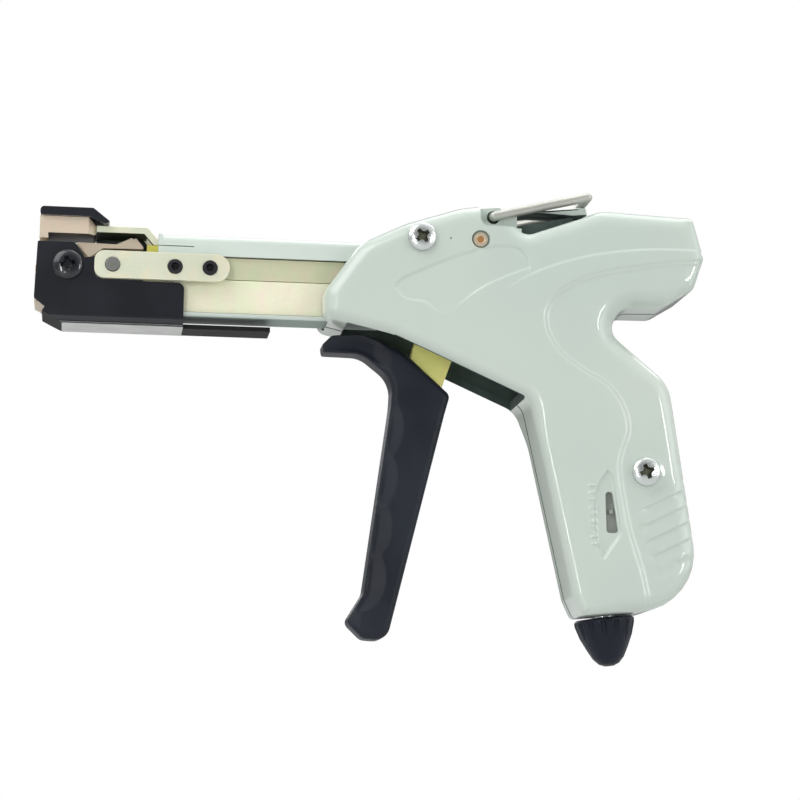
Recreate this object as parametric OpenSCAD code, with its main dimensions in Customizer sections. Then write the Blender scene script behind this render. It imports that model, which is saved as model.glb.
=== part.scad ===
// Cable tie tensioning tool: a pistol-shaped casing with a barrel, a cutting nose and a squeeze trigger.
// X runs from the nose to the rear, Z is up, and the casing halves meet in the plane y = 0.
// The origin is the middle of the slot in the nose that the tie's strap goes through.

/* [Casing] */
// Distance from the nose face to the front edge of the casing
barrel_out = 75.6; // [70:0.2:84]
// Length of the casing, front edge to rear
body_len = 103.1; // [98:0.2:108]
// Height of the casing, top to the foot of the grip
body_h = 110.8; // [106:0.2:116]
// Height of the casing's top above the tie slot
body_top = 13.2; // [12.6:0.1:14]
// Half of the casing's thickness
body_half = 15; // [14.4:0.1:17]
// Rounding of the casing's outer edges
edge_r = 3; // [1.5:0.1:3.4]
// Wall of the die-cast halves
wall = 2.4; // [1.8:0.1:2.8]
// Half width of the roof ridge under the bail
ridge_half = 4.5; // [3.5:0.1:6]
// Height of the roof ridge above the casing's top
ridge_rise = 2; // [1.2:0.1:2.2]
// Half width of the opening that the trigger swings in
mouth_half = 12.2; // [11:0.1:12.4]

/* [Barrel] */
// Outer half width of the barrel channel
barrel_half = 6.4; // [6.3:0.05:6.6]
// Height of the barrel channel
barrel_h = 22.1; // [22:0.1:22.8]
// Top of the barrel above the tie slot
barrel_top = 2.7; // [2.6:0.1:3]
// Sheet of the barrel channel
barrel_sheet = 1.1; // [0.9:0.05:1.15]
// Depth of the upper lip on the open side
barrel_lip = 5.5; // [4.6:0.1:5.9]
// Length of the barrel inside the casing
barrel_in = 16; // [12:0.5:18]
// Bend radius of the barrel's long corners
barrel_bend = 3; // [1.5:0.1:3.4]

/* [Bars in the barrel] */
// Half width of the guide rail and of the cut-off bar
bar_half = 5.15; // [5.05:0.05:5.2]
// Half width of the sliding pull bar
pull_half = 2.2; // [1.8:0.1:2.4]
// Top of the guide rail below the tie slot
rail_drop = 3; // [2.9:0.05:3.1]
// Height of the guide rail
rail_h = 5.85; // [5.7:0.05:5.9]
// Web under the pull bar
rail_web = 1.3; // [1:0.1:1.5]
// Height of the cut-off bar
cut_bar_h = 9.1; // [8.4:0.1:9.1]
// Thickness of the two rear prongs of the cut-off bar
prong_t = 1; // [0.8:0.05:1.1]

/* [Nose] */
// Length of the nose block
block_len = 15; // [14:0.1:15.4]
// Height of the nose block
block_h = 4.5; // [4.2:0.1:5]
// Half width of the nose block
block_half = 6.2; // [5.8:0.1:6.4]
// Height of the space above the strap's path
strap_space = 1.9; // [1.7:0.1:2]
// Height of the slit in the nose face
slit_h = 0.9; // [0.6:0.05:1.1]
// Thickness of the nose face
foot_t = 2.3; // [1.8:0.1:2.4]
// Depth of the nose face below the slot
foot_drop = 3.2; // [2.6:0.1:3.4]
// Thickness of the black cap sheet
cap_t = 2.4; // [2:0.1:2.8]
// Half width of the cap
cap_half = 7.4; // [6.6:0.1:8]
// Thickness of the anvil plate
anvil_t = 1.8; // [1.5:0.1:1.8]
// Length of the flat part of the anvil plate behind the block
anvil_len = 13.6; // [12:0.1:14]

/* [Cutter head] */
// Length of the cutter head's side plates
head_len = 39.5; // [38:0.1:41]
// Height of the cutter head
head_h = 21.85; // [21.6:0.05:22.4]
// Sheet of the cutter head
head_sheet = 1.2; // [1:0.05:1.3]
// Side clearance between barrel and cutter head
head_gap = 0.2; // [0.15:0.05:0.3]
// Length of the tail behind the side plates
tail_len = 23.3; // [16:0.5:26]
// Distance of the cutter pivot behind the nose face
cut_pivot_x = 19.5; // [19.1:0.1:20]
// Depth of the cutter pivot below the tie slot
cut_pivot_drop = 6.7; // [6.6:0.05:6.8]
// Distance of the push pin below the cutter pivot
push_arm = 11; // [10.2:0.1:11.2]
// Radius of the push pin
push_pin_r = 1.5; // [1:0.1:1.8]
// Thickness of the blade
blade_t = 2.2; // [1.6:0.1:2.4]

/* [Side links] */
// Distance between the end rivets of a side link
link_span = 25.8; // [24:0.1:27]
// Width of a side link
link_w = 7.4; // [6.6:0.1:7.6]
// Thickness of a side link
link_t = 1.4; // [1.2:0.1:1.8]
// Radius of the link pins
link_pin_r = 1.95; // [1.6:0.05:2.2]
// Distance between the two rear rivets
rivet_step = 9.3; // [8.4:0.1:10]

/* [Pawl] */
// Length of the gripping pawl
pawl_len = 17; // [16:0.1:17.4]
// Half width of the gripping pawl
pawl_half = 3.2; // [2.8:0.1:3.3]
// Height of the pawl
pawl_h = 6; // [5.6:0.1:6.2]
// Radius of the pawl pin
pawl_pin_r = 1; // [0.8:0.05:1.1]

/* [Trigger] */
// Squeeze of the trigger in degrees
squeeze = 22; // [18:1:22]
// Distance of the drive pin from the trigger pivot
drive_arm = 16.8; // [16.4:0.1:17.2]
// Half width of the black trigger sleeve
sleeve_half = 5; // [4.6:0.1:5.6]
// Width of the sleeve over its hook
sleeve_w = 34.8; // [33:0.1:36]
// Height of the sleeve
sleeve_h = 82.4; // [78:0.1:86]
// Rounding of the sleeve's edges
sleeve_edge = 1.5; // [0.8:0.1:1.7]
// Half thickness of the steel lever
lever_half = 2; // [1.6:0.1:2.1]
// Radius of the lever's pivot boss
lever_boss_r = 6; // [5:0.1:6.2]
// Radius of the trigger pivot pin
pivot_r = 2; // [1.8:0.05:2.2]
// Radius of the drive rollers
roller_r = 2.5; // [2.2:0.05:2.7]
// Radius of the drive pin
drive_pin_r = 1.6; // [1.4:0.05:1.7]

/* [Trip rocker] */
// Trip angle of the rocker in degrees
trip = 5; // [4:0.5:5]
// Half width of the rocker
rocker_half = 6.4; // [5.6:0.1:6.6]
// Radius of the rocker's pivot boss
rocker_boss_r = 4.4; // [4:0.1:5]
// Radius of the rocker's rounded tip
tip_r = 2.5; // [2:0.1:2.8]
// Radius of the rocker's pivot pin
rocker_pin_r = 1.8; // [1.6:0.05:2]

/* [Tension setting] */
// Lean of the grip's axis in degrees
grip_tilt = 7; // [6:0.5:7.5]
// Radius of the knob at the casing
knob_r = 8.1; // [7:0.1:8.2]
// Length of the knob
knob_len = 12.8; // [11:0.1:14]
// Number of grooves round the knob
knob_grooves = 14; // [10:1:18]
// Radius of the tension rod
rod_r = 3; // [2.6:0.1:3.2]
// Length of the tension rod above the casing's foot
rod_len = 50; // [46:0.5:54]
// Half width of the square seat nut
nut_half = 6.4; // [5.6:0.1:6.6]
// Height of the seat nut
nut_h = 6; // [5:0.1:7]
// Distance of the seat nut's middle above the casing's foot
nut_up = 27; // [26.5:0.1:29]
// Outer radius of the main spring
spring_r = 5.8; // [5:0.1:6]
// Wire radius of the main spring
spring_wire_r = 0.8; // [0.6:0.05:0.95]
// Turns of the main spring
spring_turns = 9; // [7:1:12]
// Thickness of the thrust washer
washer_t = 1; // [0.8:0.1:1.4]
// Radius of the thrust washer
washer_r = 6; // [5:0.1:6.6]

/* [Bail] */
// Radius of the bail's wire
wire_r = 1.25; // [0.8:0.05:1.3]
// Length of the bail from pivot to cross bar
bail_len = 26.4; // [26.2:0.1:27]
// Half distance between the bail's legs
bail_half = 10.5; // [10.2:0.1:10.8]
// Angle at which the bail rests, in degrees
bail_rest = 13.8; // [13.6:0.1:15]
// Length of each bail end inside its ear
bail_end = 3.2; // [2.6:0.1:3.4]

/* [Fasteners] */
// Radius of the casing screws' heads
screw_head_r = 3.55; // [3:0.05:4]
// Height of the casing screws' heads
screw_head_h = 2.1; // [1.6:0.1:2.6]
// Radius of the casing screws' shanks
screw_r = 1.9; // [1.5:0.05:2]
// Radius of the blade screw's head
blade_head_r = 4; // [3.4:0.05:4.3]
// Height of the blade screw's head
blade_head_h = 1.9; // [1.4:0.1:2.2]
// Radius of the blade screw's shank
blade_screw_r = 2; // [1.6:0.05:2.1]

/* [Hidden] */
$fn = 48;

// Clearances: a running fit, a sliding gap, and open air between moving pieces
run = 0.06;
slide = 0.15;
air = 0.3;
// One overrun for every cut
over = 1;
// Steps in each rounded corner of an outline
arc_n = 6;
spring_fn = 14;
wire_fn = 8;

// Outline helpers. A corner is [x, z, radius]; outlines run clockwise seen from the near side.
function unit(v) = v / norm(v);
function right_of(e) = [e[1], -e[0]];
function wrap(i, n) = (i + n) % n;
function xz(c) = [c[0], c[1]];
function turn(a, b, c) = let(u = b - a, v = c - b) u[0] * v[1] - u[1] * v[0];
function inset(corners, d) = let(n = len(corners)) [for (i = [0:n - 1])
    let(a = xz(corners[wrap(i - 1, n)]), b = xz(corners[i]), c = xz(corners[wrap(i + 1, n)]),
        n1 = right_of(unit(b - a)), n2 = right_of(unit(c - b)),
        p = b + d * (n1 + n2) / (1 + n1 * n2), way = turn(a, b, c) < 0 ? 1 : -1)
    [p[0], p[1], max(corners[i][2] - way * d, corners[i][2] * min_arc_share)]];
min_arc_share = 0.1;
function arc_at(a, b, c, r) =
    let(u = unit(a - b), v = unit(c - b), half = acos(max(-1, min(1, u * v))) / 2,
        t = r / tan(half), m = b + unit(u + v) * r / sin(half), s = b + u * t - m, e = b + v * t - m,
        a0 = atan2(s[1], s[0]), raw = atan2(e[1], e[0]) - a0,
        sweep = raw > 180 ? raw - 360 : raw < -180 ? raw + 360 : raw)
    [for (k = [0:arc_n]) m + r * [cos(a0 + sweep * k / arc_n), sin(a0 + sweep * k / arc_n)]];
function rounded(corners) = let(n = len(corners)) [for (i = [0:n - 1])
    each arc_at(xz(corners[wrap(i - 1, n)]), xz(corners[i]), xz(corners[wrap(i + 1, n)]), corners[i][2])];
// A strip of changing width along a bent middle line
function mean_way(c, i) = unit((i > 0 ? unit(c[i] - c[i - 1]) : [0, 0])
                               + (i < len(c) - 1 ? unit(c[i + 1] - c[i]) : [0, 0]));
function ribbon(c, w) = concat(
    [for (i = [0:len(c) - 1]) c[i] - right_of(mean_way(c, i)) * w[i]],
    [for (i = [len(c) - 1:-1:0]) c[i] + right_of(mean_way(c, i)) * w[i]]);

// Solid helpers
module slab(points, y0, y1) {
    translate([0, y1, 0]) rotate([90, 0, 0]) linear_extrude(y1 - y0) polygon(points);
}
module bar_y(p, r, y0, y1) {
    translate([p[0], y1, p[1]]) rotate([90, 0, 0]) cylinder(r = r, h = y1 - y0);
}
module both_sides() {
    children();
    mirror([0, 1, 0]) children();
}
module box_at(low, high) {
    translate(low) cube(high - low);
}
// Closed body through the same outline at several depths; rings are [inset, y] from far to near.
// Each end is closed by fans round a few inner hubs, with one hub number for every corner.
module ring_body(corners, rings, hubs, hub_of) {
    loops = [for (g = rings) rounded(inset(corners, g[0]))];
    n = len(loops[0]);
    m = len(rings);
    points = concat([for (k = [0:m - 1]) for (p = loops[k]) [p[0], rings[k][1], p[1]]],
                    [for (k = [0, m - 1]) for (h = hubs) [h[0], rings[k][1], h[1]]]);
    sides = [for (k = [0:m - 2]) for (i = [0:n - 1]) let(j = wrap(i + 1, n))
        each [[k * n + i, k * n + j, (k + 1) * n + j], [k * n + i, (k + 1) * n + j, (k + 1) * n + i]]];
    far_cap = [for (i = [0:n - 1]) let(j = wrap(i + 1, n), a = hub_of[floor(i / (arc_n + 1))],
                                       b = hub_of[floor(j / (arc_n + 1))])
        each concat([[j, i, m * n + a]], a == b ? [] : [[j, m * n + a, m * n + b]])];
    near = (m - 1) * n;
    near_hub = m * n + len(hubs);
    near_cap = [for (i = [0:n - 1]) let(j = wrap(i + 1, n), a = hub_of[floor(i / (arc_n + 1))],
                                        b = hub_of[floor(j / (arc_n + 1))])
        each concat([[near + i, near + j, near_hub + a]],
                    a == b ? [] : [[near + j, near_hub + b, near_hub + a]])];
    polyhedron(points, concat(sides, far_cap, near_cap));
}
// Round wire wound about the local Z axis
module coil(radius, wire, turns, height) {
    steps = turns * spring_fn;
    points = [for (k = [0:steps]) let(a = 360 * k / spring_fn) for (i = [0:wire_fn - 1])
        let(b = 360 * i / wire_fn, q = radius + wire * cos(b))
        [q * cos(a), q * sin(a), height * k / steps + wire * sin(b)]];
    sides = [for (k = [0:steps - 1]) for (i = [0:wire_fn - 1]) let(j = wrap(i + 1, wire_fn))
        each [[k * wire_fn + i, k * wire_fn + j, (k + 1) * wire_fn + j],
              [k * wire_fn + i, (k + 1) * wire_fn + j, (k + 1) * wire_fn + i]]];
    polyhedron(points, concat(sides, [[for (i = [wire_fn - 1:-1:0]) i],
                                      [for (i = [0:wire_fn - 1]) steps * wire_fn + i]]));
}

// Places on the casing, as shares of its length and height from its top front
function body_at(share) = [barrel_out + share[0] * body_len, body_top - share[1] * body_h];
// Corners of the casing's outline: share of length, share of height, radius as a share of height
casing_share = [
    [0.000, 0.231, 0.045], [0.091, 0.110, 0.126], [0.208, 0.057, 0.225], [0.358, 0.011, 0.270],
    [0.463, 0.001, 0.009], [0.520, 0.075, 0.032], [0.727, 0.005, 0.090], [0.970, 0.014, 0.020],
    [1.000, 0.117, 0.022], [0.973, 0.193, 0.022], [0.898, 0.236, 0.036], [0.790, 0.239, 0.045],
    [0.749, 0.299, 0.038], [0.908, 0.429, 0.099], [0.997, 0.967, 0.143], [0.676, 0.996, 0.014],
    [0.653, 0.950, 0.027], [0.538, 0.478, 0.052], [0.183, 0.333, 0.225], [0.001, 0.295, 0.027]];
casing = [for (c = casing_share) let(p = body_at(c)) [p[0], p[1], c[2] * body_h]];
// Hubs for the casing's flat ends: front, middle, rear and grip
casing_hub_share = [[0.256, 0.200], [0.605, 0.282], [0.819, 0.101], [0.770, 0.679]];
casing_hub_of = [0, 0, 0, 0, 0, 1, 2, 2, 2, 2, 2, 2, 1, 3, 3, 3, 3, 1, 0, 0];
pivot = body_at([0.4035, 0.093]);
screw_spots = [body_at([0.249, 0.094]), body_at([0.840, 0.649])];
bail_pivot = body_at([0.445, 0.0262]);
rocker_pivot = body_at([0.542, 0.178]);
grip_foot = body_at([0.7585, 0.990]);

// Half of the casing, made on the near side
inner_half = body_half - wall;
seam = slide / 3;
round_steps = 4;
shell_rings = concat([[0, -seam]], [for (k = [0:round_steps]) let(a = 90 * k / round_steps)
    [edge_r * (1 - cos(a)), -(body_half - edge_r) - edge_r * sin(a)]]);
// Trigger mouth in the casing's underside: shares along and down the casing
mouth_share = [[0.06, 0.27], [0.20, 0.27], [0.526, 0.44], [0.526, 0.62], [0.06, 0.62]];
ear_t = 1.8;
ear_floor = bail_half - wire_r - air;
ear_inner = ear_floor - ear_t;
ear_front = 4.4;
ear_back = 6.4;
ear_below = 3.6;
// Ridge outline: share of the casing's length, share of the ridge's height down from the casing's top
ridge_share = [[0.40, 0.75], [0.46, -0.05], [0.585, -0.30], [0.682, -1.0], [0.700, -0.98],
               [0.705, 0.1], [0.664, 0.3], [0.60, 0.12], [0.55, 0.12], [0.50, 0.55], [0.44, 0.8]];
// Slots either side of the web under the ridge, and the web's raised top
web_half = 3.2;
slot_share = [[0.508, -0.05], [0.68, -0.05], [0.68, 0.09], [0.508, 0.16]];
web_share = [[0.49, 0.12], [0.493, 0.040], [0.513, 0.036], [0.587, 0.021], [0.665, 0.004],
             [0.69, 0.06]];
boss_wall = 2.2;
screw_boss_r = screw_r + boss_wall;
pin_boss_r = 4.4;
boss_face = rocker_half + slide + over / 2;
support_setback = 4;
rail_support_len = barrel_in - support_setback;
support_share = [0.68, 0.28];
blind = 1.6;
window_share = [[0.7345, 0.699], [0.7530, 0.698], [0.7695, 0.797], [0.7380, 0.798]];
window_r = 0.9;

module casing_half() {
    difference() {
        ring_body(casing, shell_rings, [for (h = casing_hub_share) body_at(h)], casing_hub_of);
        slab(rounded(inset(casing, wall)), -inner_half, over);
    }
}
// Roof ridge that the bail's cross bar rests on
module ridge_half_body() {
    slab([for (s = ridge_share) [barrel_out + s[0] * body_len, body_top - s[1] * ridge_rise]],
         -ridge_half, -seam);
    slab([for (s = web_share) body_at(s)], -web_half, -seam);
}
module bail_ear() {
    box_at([bail_pivot[0] - ear_front - wall, -inner_half - wall / 2, bail_pivot[1] - ear_below - wall],
           [bail_pivot[0] + ear_back + over, -ear_inner, body_top]);
}
module bail_pocket() {
    box_at([bail_pivot[0] - ear_front, -body_half - over, bail_pivot[1] - ear_below],
           [bail_pivot[0] + ear_back + over, -ear_floor, body_top + ridge_rise]);
}
module casing_bosses() {
    for (s = screw_spots) bar_y(s, screw_boss_r, -inner_half - wall / 2, -seam);
    bar_y(pivot, pin_boss_r, -inner_half - wall / 2, -boss_face);
    bar_y(rocker_pivot, pin_boss_r, -inner_half - wall / 2, -boss_face);
    box_at([barrel_end - rail_support_len, -inner_half - wall / 2, barrel_top - barrel_h * support_share[0]],
           [barrel_end, -barrel_half - run, barrel_top - barrel_h * support_share[1]]);
    // Bulkhead that guides the spring cap
    intersection() {
        slab(rounded(inset(casing, wall / 2)), -inner_half - wall / 2, -seam);
        at_grip(cap_at - bulkhead_t - cap_t_disc)
            box_at([-bulkhead_front, -body_half, 0], [body_len, 0, bulkhead_t]);
    }
}
module casing_cuts() {
    slab([for (s = slot_share) body_at(s)], -inner_half, -ridge_half);
    slab([for (s = mouth_share) body_at(s)], -mouth_half, over);
    box_at([barrel_out - over, -barrel_half - run, barrel_top - barrel_h - air],
           [barrel_out + barrel_in + run, over, barrel_top + air]);
    bail_pocket();
    bar_y(bail_pivot, wire_r + run, -ear_floor - over, -ear_inner + over);
    bar_y(pivot, pivot_r + run, -body_half - over, -boss_face + over);
    bar_y(pivot, pivot_r + slide + run * 2, -body_half - over, -body_half + wall / 2);
    bar_y(rocker_pivot, rocker_pin_r + run, -inner_half + blind / 2, -boss_face + over);
    at_grip(-over) cylinder(r = rod_r + run, h = wall * 4);
    at_grip(cap_at - cap_t_disc - bulkhead_t - over) cylinder(r = cap_r + slide, h = bulkhead_t + 2 * over);
}

// The near casing half carries the screw heads and the setting window
module near_shell() color([0.74, 0.79, 0.75]) {
    difference() {
        union() {
            casing_half();
            intersection() {
                union() {
                    casing_bosses();
                    bail_ear();
                }
                slab(rounded(inset(casing, wall / 2)), -body_half, -seam);
            }
            ridge_half_body();
        }
        casing_cuts();
        for (s = screw_spots) bar_y(s, screw_r + slide, -body_half - over, over);
        slab(rounded([for (w = window_share) let(p = body_at(w)) [p[0], p[1], window_r]]),
             -body_half - over, -inner_half + over);
    }
}
// The far casing half is plain outside and takes the screws' threads
module far_shell() color([0.74, 0.79, 0.75]) mirror([0, 1, 0]) {
    difference() {
        union() {
            casing_half();
            intersection() {
                union() {
                    casing_bosses();
                    bail_ear();
                }
                slab(rounded(inset(casing, wall / 2)), -body_half, -seam);
            }
            ridge_half_body();
        }
        casing_cuts();
        for (s = screw_spots) bar_y(s, screw_r + run, -screw_grip - over, over);
    }
}
screw_grip = body_half * 0.6;
module shell_screws() color([0.78, 0.8, 0.8]) for (s = screw_spots) {
    difference() {
        union() {
            bar_y(s, screw_head_r, -body_half - screw_head_h, -body_half);
            bar_y(s, screw_r, -body_half - screw_head_h / 2, screw_grip);
        }
        cross_recess(s, screw_head_r, -body_half - screw_head_h, screw_head_h);
    }
}
// Cross recess cut into a pan head that faces the near side
module cross_recess(p, head_r, face, head_h) {
    arm = head_r * 0.56;
    slot = head_r * 0.17;
    for (a = [0, 90]) translate([p[0], face - over, p[1]]) rotate([0, 45 + a, 0])
        translate([-arm, 0, -slot]) cube([2 * arm, over + head_h * 0.45, 2 * slot]);
}

// Barrel: one bent sheet, open towards the near side; its far wall runs on to the nose block
cheek_drop = 8;
barrel_start = 31.5;
pawl_notch = 1.4;
barrel_end = barrel_out + barrel_in;
barrel_low = barrel_top - barrel_h;
barrel_inner = barrel_half - barrel_sheet;
module barrel_channel() color([0.8, 0.85, 0.81]) {
    difference() {
        union() {
            box_at([barrel_start, -barrel_half, barrel_low], [barrel_end, barrel_half, barrel_top]);
            box_at([block_len + air, barrel_inner, -cheek_drop],
                   [barrel_start + over, barrel_half, anvil_top - anvil_t / 2]);
        }
        box_at([barrel_start - over, -barrel_inner, barrel_low + barrel_sheet],
               [barrel_end + over, barrel_inner, barrel_top - barrel_sheet]);
        box_at([barrel_start - over, -barrel_half - over, barrel_low + barrel_sheet],
               [barrel_end + over, -barrel_inner + over, barrel_top - barrel_lip]);
        // Notch that the pawl's teeth run into at full pull
        box_at([barrel_start - over, -pawl_half - air, barrel_top - barrel_sheet - over],
               [barrel_start + pawl_notch, pawl_half + air, barrel_top + over]);
        for (s = [-1, 1]) long_bend(s, barrel_top, 1);
        for (s = [-1, 1]) long_bend(s, barrel_low, -1);
        for (x = rivet_xs) bar_y([x, link_z], spacer_r + run, 0, barrel_half + over);
    }
}
// Cutter for one long outer corner of the barrel
module long_bend(side, z, way) {
    r = barrel_bend * 0.6;
    translate([0, side * (barrel_half - r), z - way * r]) difference() {
        box_at([barrel_start + over, side > 0 ? 0 : -r - over, way > 0 ? 0 : -r - over],
               [barrel_end + over, side > 0 ? r + over : 0, way > 0 ? r + over : 0]);
        translate([barrel_start, 0, 0]) rotate([0, 90, 0])
            cylinder(r = r, h = barrel_end - barrel_start + 2 * over);
    }
}

// Guide rail: the upper plated bar, a trough that the pull bar slides in
rail_start = 28.5;
rail_past = 2;
rail_end = barrel_end + rail_past;
rail_low = -rail_drop - rail_h;
rail_wall_in = pull_half + slide;
tab_len = 7.5;
tab_in = pawl_half + air;
module guide_rail() color([0.81, 0.8, 0.62]) {
    difference() {
        union() {
            box_at([rail_start, -bar_half, rail_low], [rail_end, bar_half, -rail_drop]);
            both_sides() box_at([rail_start, -bar_half, -rail_drop - run],
                                [rail_start + tab_len, -tab_in, tine_low - tab_gap]);
        }
        box_at([rail_start - over, -rail_wall_in, rail_low + rail_web],
               [rail_end + over, rail_wall_in, over - rail_drop]);
        both_sides() for (x = rivet_xs) bar_y([x, link_z], link_pin_r + run, -bar_half - over, 0);
    }
}
tab_gap = 0.05;

// Anvil plate: the strap is gripped against its underside; two tines step down onto the rail
anvil_rise = 0.8;
anvil_low = strap_space + anvil_rise;
anvil_top = anvil_low + anvil_t;
tongue_len = 5.6;
tine_step = 2.6;
module anvil_plate() color([0.84, 0.87, 0.8]) {
    flat_end = block_len + anvil_len;
    step_end = flat_end + tine_step;
    box_at([block_len + run, -bar_half, anvil_low], [flat_end, bar_half, anvil_top]);
    box_at([block_len - tongue_len, -tongue_half, anvil_low], [block_len + over, tongue_half, anvil_top]);
    both_sides() slab([[flat_end - over, anvil_low], [flat_end - over, anvil_top], [flat_end, anvil_top],
                       [step_end, tine_low + anvil_t], [rail_start + tab_len, tine_low + anvil_t],
                       [rail_start + tab_len, tine_low], [step_end - anvil_t / 2, tine_low],
                       [flat_end - anvil_t / 2, anvil_low]], -bar_half, -tab_in);
}
tine_low = -0.3;
tongue_half = 4;

// Nose block: hardened block over the strap, with the slit in its face
block_low = strap_space;
block_top = block_low + block_h;
chamfer = 2.1;
module nose_block() color([0.8, 0.76, 0.67]) {
    difference() {
        union() {
            slab([[0, block_low], [0, block_top], [block_len - chamfer, block_top],
                  [block_len, block_top - chamfer], [block_len, block_low + chamfer / 4],
                  [block_len - chamfer / 4, block_low]], -block_half, block_half);
            box_at([0, -block_half, -foot_drop], [foot_t, block_half, block_low + over]);
        }
        translate([0, 0, -foot_drop - over]) linear_extrude(foot_drop + block_top + 2 * over)
            polygon([[block_len - chamfer, -block_half - over], [block_len - chamfer, -block_half],
                     [block_len + over, -block_half + chamfer + over],
                     [block_len + over, -block_half - over]]);
        box_at([-over, -block_half - over, -slit_h / 2], [foot_t + over, block_half * 0.7, slit_h / 2]);
        box_at([block_len - tongue_len - run, -tongue_half - run, anvil_low - run],
               [block_len + over, tongue_half + run, anvil_top + run]);
    }
}
// Nose cap: black sheet bent down behind the block, with a rounded front edge
cap_front = 0;
cap_over = 1.1;
cap_flat_end = block_len - chamfer + cap_over;
cap_slope = 4.6;
module nose_cap() color([0.17, 0.18, 0.22]) {
    low = block_top + seat;
    slab(rounded([[cap_front, low, cap_t * 0.35], [cap_front, low + cap_t, cap_t * 0.45],
                  [cap_flat_end, low + cap_t, cap_t * 0.5],
                  [cap_flat_end + cap_slope, anvil_top + seat + cap_t * 0.3, cap_t * 0.1],
                  [cap_flat_end + cap_slope - cap_t * 0.6, anvil_top + seat, cap_t * 0.1],
                  [cap_flat_end - cap_t * 0.4, low, cap_t * 0.05]]), -cap_half, cap_half);
}
seat = 0.02;

// Cutter head: black U-shaped sheet that swings about the pivot pins
cut_pivot = [cut_pivot_x, -cut_pivot_drop];
head_in = barrel_half + head_gap;
head_out = head_in + head_sheet;
head_clear = 2.05;
head_low = barrel_low - head_clear - head_sheet;
head_top = head_low + head_h;
head_front = -0.9;
// Side plate outline: share of the head's length, share of its height, corner radius as share of height
head_share = [
    [0.013, 0.000, 0.02], [0.262, 0.000, 0.07], [0.331, 0.190, 0.02], [0.440, 0.145, 0.05],
    [0.600, 0.130, 0.08], [0.720, 0.455, 0.05], [1.000, 0.455, 0.08], [1.000, 1.000, 0.02],
    [0.190, 1.000, 0.02], [0.162, 0.922, 0.03], [0.000, 0.698, 0.03]];
head_corners = [for (h = head_share) [head_front + h[0] * head_len, head_top - h[1] * head_h, h[2] * head_h]];
head_bend = 2.4;
tail_half = 5.2;
head_lip = 0.14;
blade_screw_at = [7.7, -7];
push_at = cut_pivot - [0, push_arm];
module cutter_head() color([0.17, 0.19, 0.23]) {
    web_top = head_low + head_sheet;
    difference() {
        union() {
            both_sides() slab(rounded(head_corners), -head_out, -head_in);
            box_at([head_front + head_len * 0.19, -head_out, head_low],
                   [head_front + head_len, head_out, web_top]);
            box_at([head_front + head_len - over, -tail_half, head_low],
                   [head_front + head_len + tail_len, tail_half, web_top]);
            // Sloping lip across the front of the web
            slab([[head_front + head_len * 0.19 + over / 2, head_low],
                  [head_front + head_len * 0.055, head_low + head_h * head_lip],
                  [head_front + head_len * 0.075, head_low + head_h * head_lip + head_sheet],
                  [head_front + head_len * 0.19 + over / 2, web_top]], -head_out, head_out);
        }
        both_sides() for (c = [[cut_pivot, link_pin_r], [blade_screw_at, blade_screw_r]])
            bar_y(c[0], c[1] + run, -head_out - over, 0);
        bar_y(push_at, push_pin_r + run, -head_in - head_sheet / 2, head_in + head_sheet / 2);
        for (s = [-1, 1]) web_bend(s);
    }
}
module web_bend(side) {
    translate([0, side * (head_out - head_bend), head_low + head_bend]) difference() {
        box_at([head_front - over, side > 0 ? 0 : -head_bend - over, -head_bend - over],
               [head_front + head_len + over, side > 0 ? head_bend + over : 0, 0]);
        translate([head_front - 2 * over, 0, 0]) rotate([0, 90, 0])
            cylinder(r = head_bend, h = head_len + 4 * over);
        // The bend keeps the sheet's thickness, so the cut stays outside it
        box_at([head_front - 2 * over, -head_bend + head_sheet * 0.45, -head_bend + head_sheet * 0.45],
               [head_front + head_len + 2 * over, head_bend - head_sheet * 0.45, over]);
    }
}
// Cutter block: plated steel block between the plates that holds the blade
block_in = head_in - run;
block_back = 13;
block_setback = 0.1;
block_edge = 1.5;
block_drop = 1.9;
block_step = 3.4;
block_corner_share = [[0.22, 0], [0.078, 0.150], [0, 0.21]];
blade_front = foot_t + slide * 2;
module cutter_block() color([0.84, 0.82, 0.7]) {
    low = head_low + head_sheet + run;
    front_drop = foot_drop + block_drop;
    front = head_front + block_setback;
    corner = [for (c = block_corner_share) [head_front + c[0] * head_len, low + c[1] * head_h]];
    difference() {
        slab([[front, -front_drop - chamfer], [front + block_edge, -front_drop],
              [blade_front - run, -front_drop], [blade_front - run, blade_low],
              [blade_front + blade_t + run, blade_low],
              [blade_front + blade_t + run, head_top - over], [block_back - block_step, head_top - over],
              [block_back - block_step, -cut_pivot_drop + over], [block_back, -cut_pivot_drop],
              [block_back, low], corner[0], corner[1], [front, corner[2][1]]], -block_in, block_in);
        bar_y(blade_screw_at, blade_screw_r + run, -block_in - over, block_in + over);
    }
}
blade_low = -15;
blade_top = -slit_h / 2 - slide;
module cutter_blade() color([0.7, 0.72, 0.74]) {
    slab([[blade_front, blade_low + run], [blade_front, blade_top],
          [blade_front + blade_t, blade_top - blade_t], [blade_front + blade_t, blade_low + run]],
         -block_half + over, block_half - over);
}
module blade_screw() color([0.15, 0.16, 0.19]) {
    difference() {
        union() {
            bar_y(blade_screw_at, blade_head_r, -head_out - blade_head_h, -head_out);
            bar_y(blade_screw_at, blade_screw_r, -head_out - blade_head_h / 2, head_out + nut_t);
        }
        cross_recess(blade_screw_at, blade_head_r, -head_out - blade_head_h, blade_head_h);
    }
}
nut_t = 2.4;
module blade_nut() color([0.15, 0.16, 0.19]) {
    difference() {
        translate([blade_screw_at[0], head_out + nut_t, blade_screw_at[1]]) rotate([90, 0, 0])
            cylinder(r = blade_head_r * 0.95, h = nut_t, $fn = 6);
        bar_y(blade_screw_at, blade_screw_r + run, head_out - over, head_out + nut_t + over);
    }
}
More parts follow.
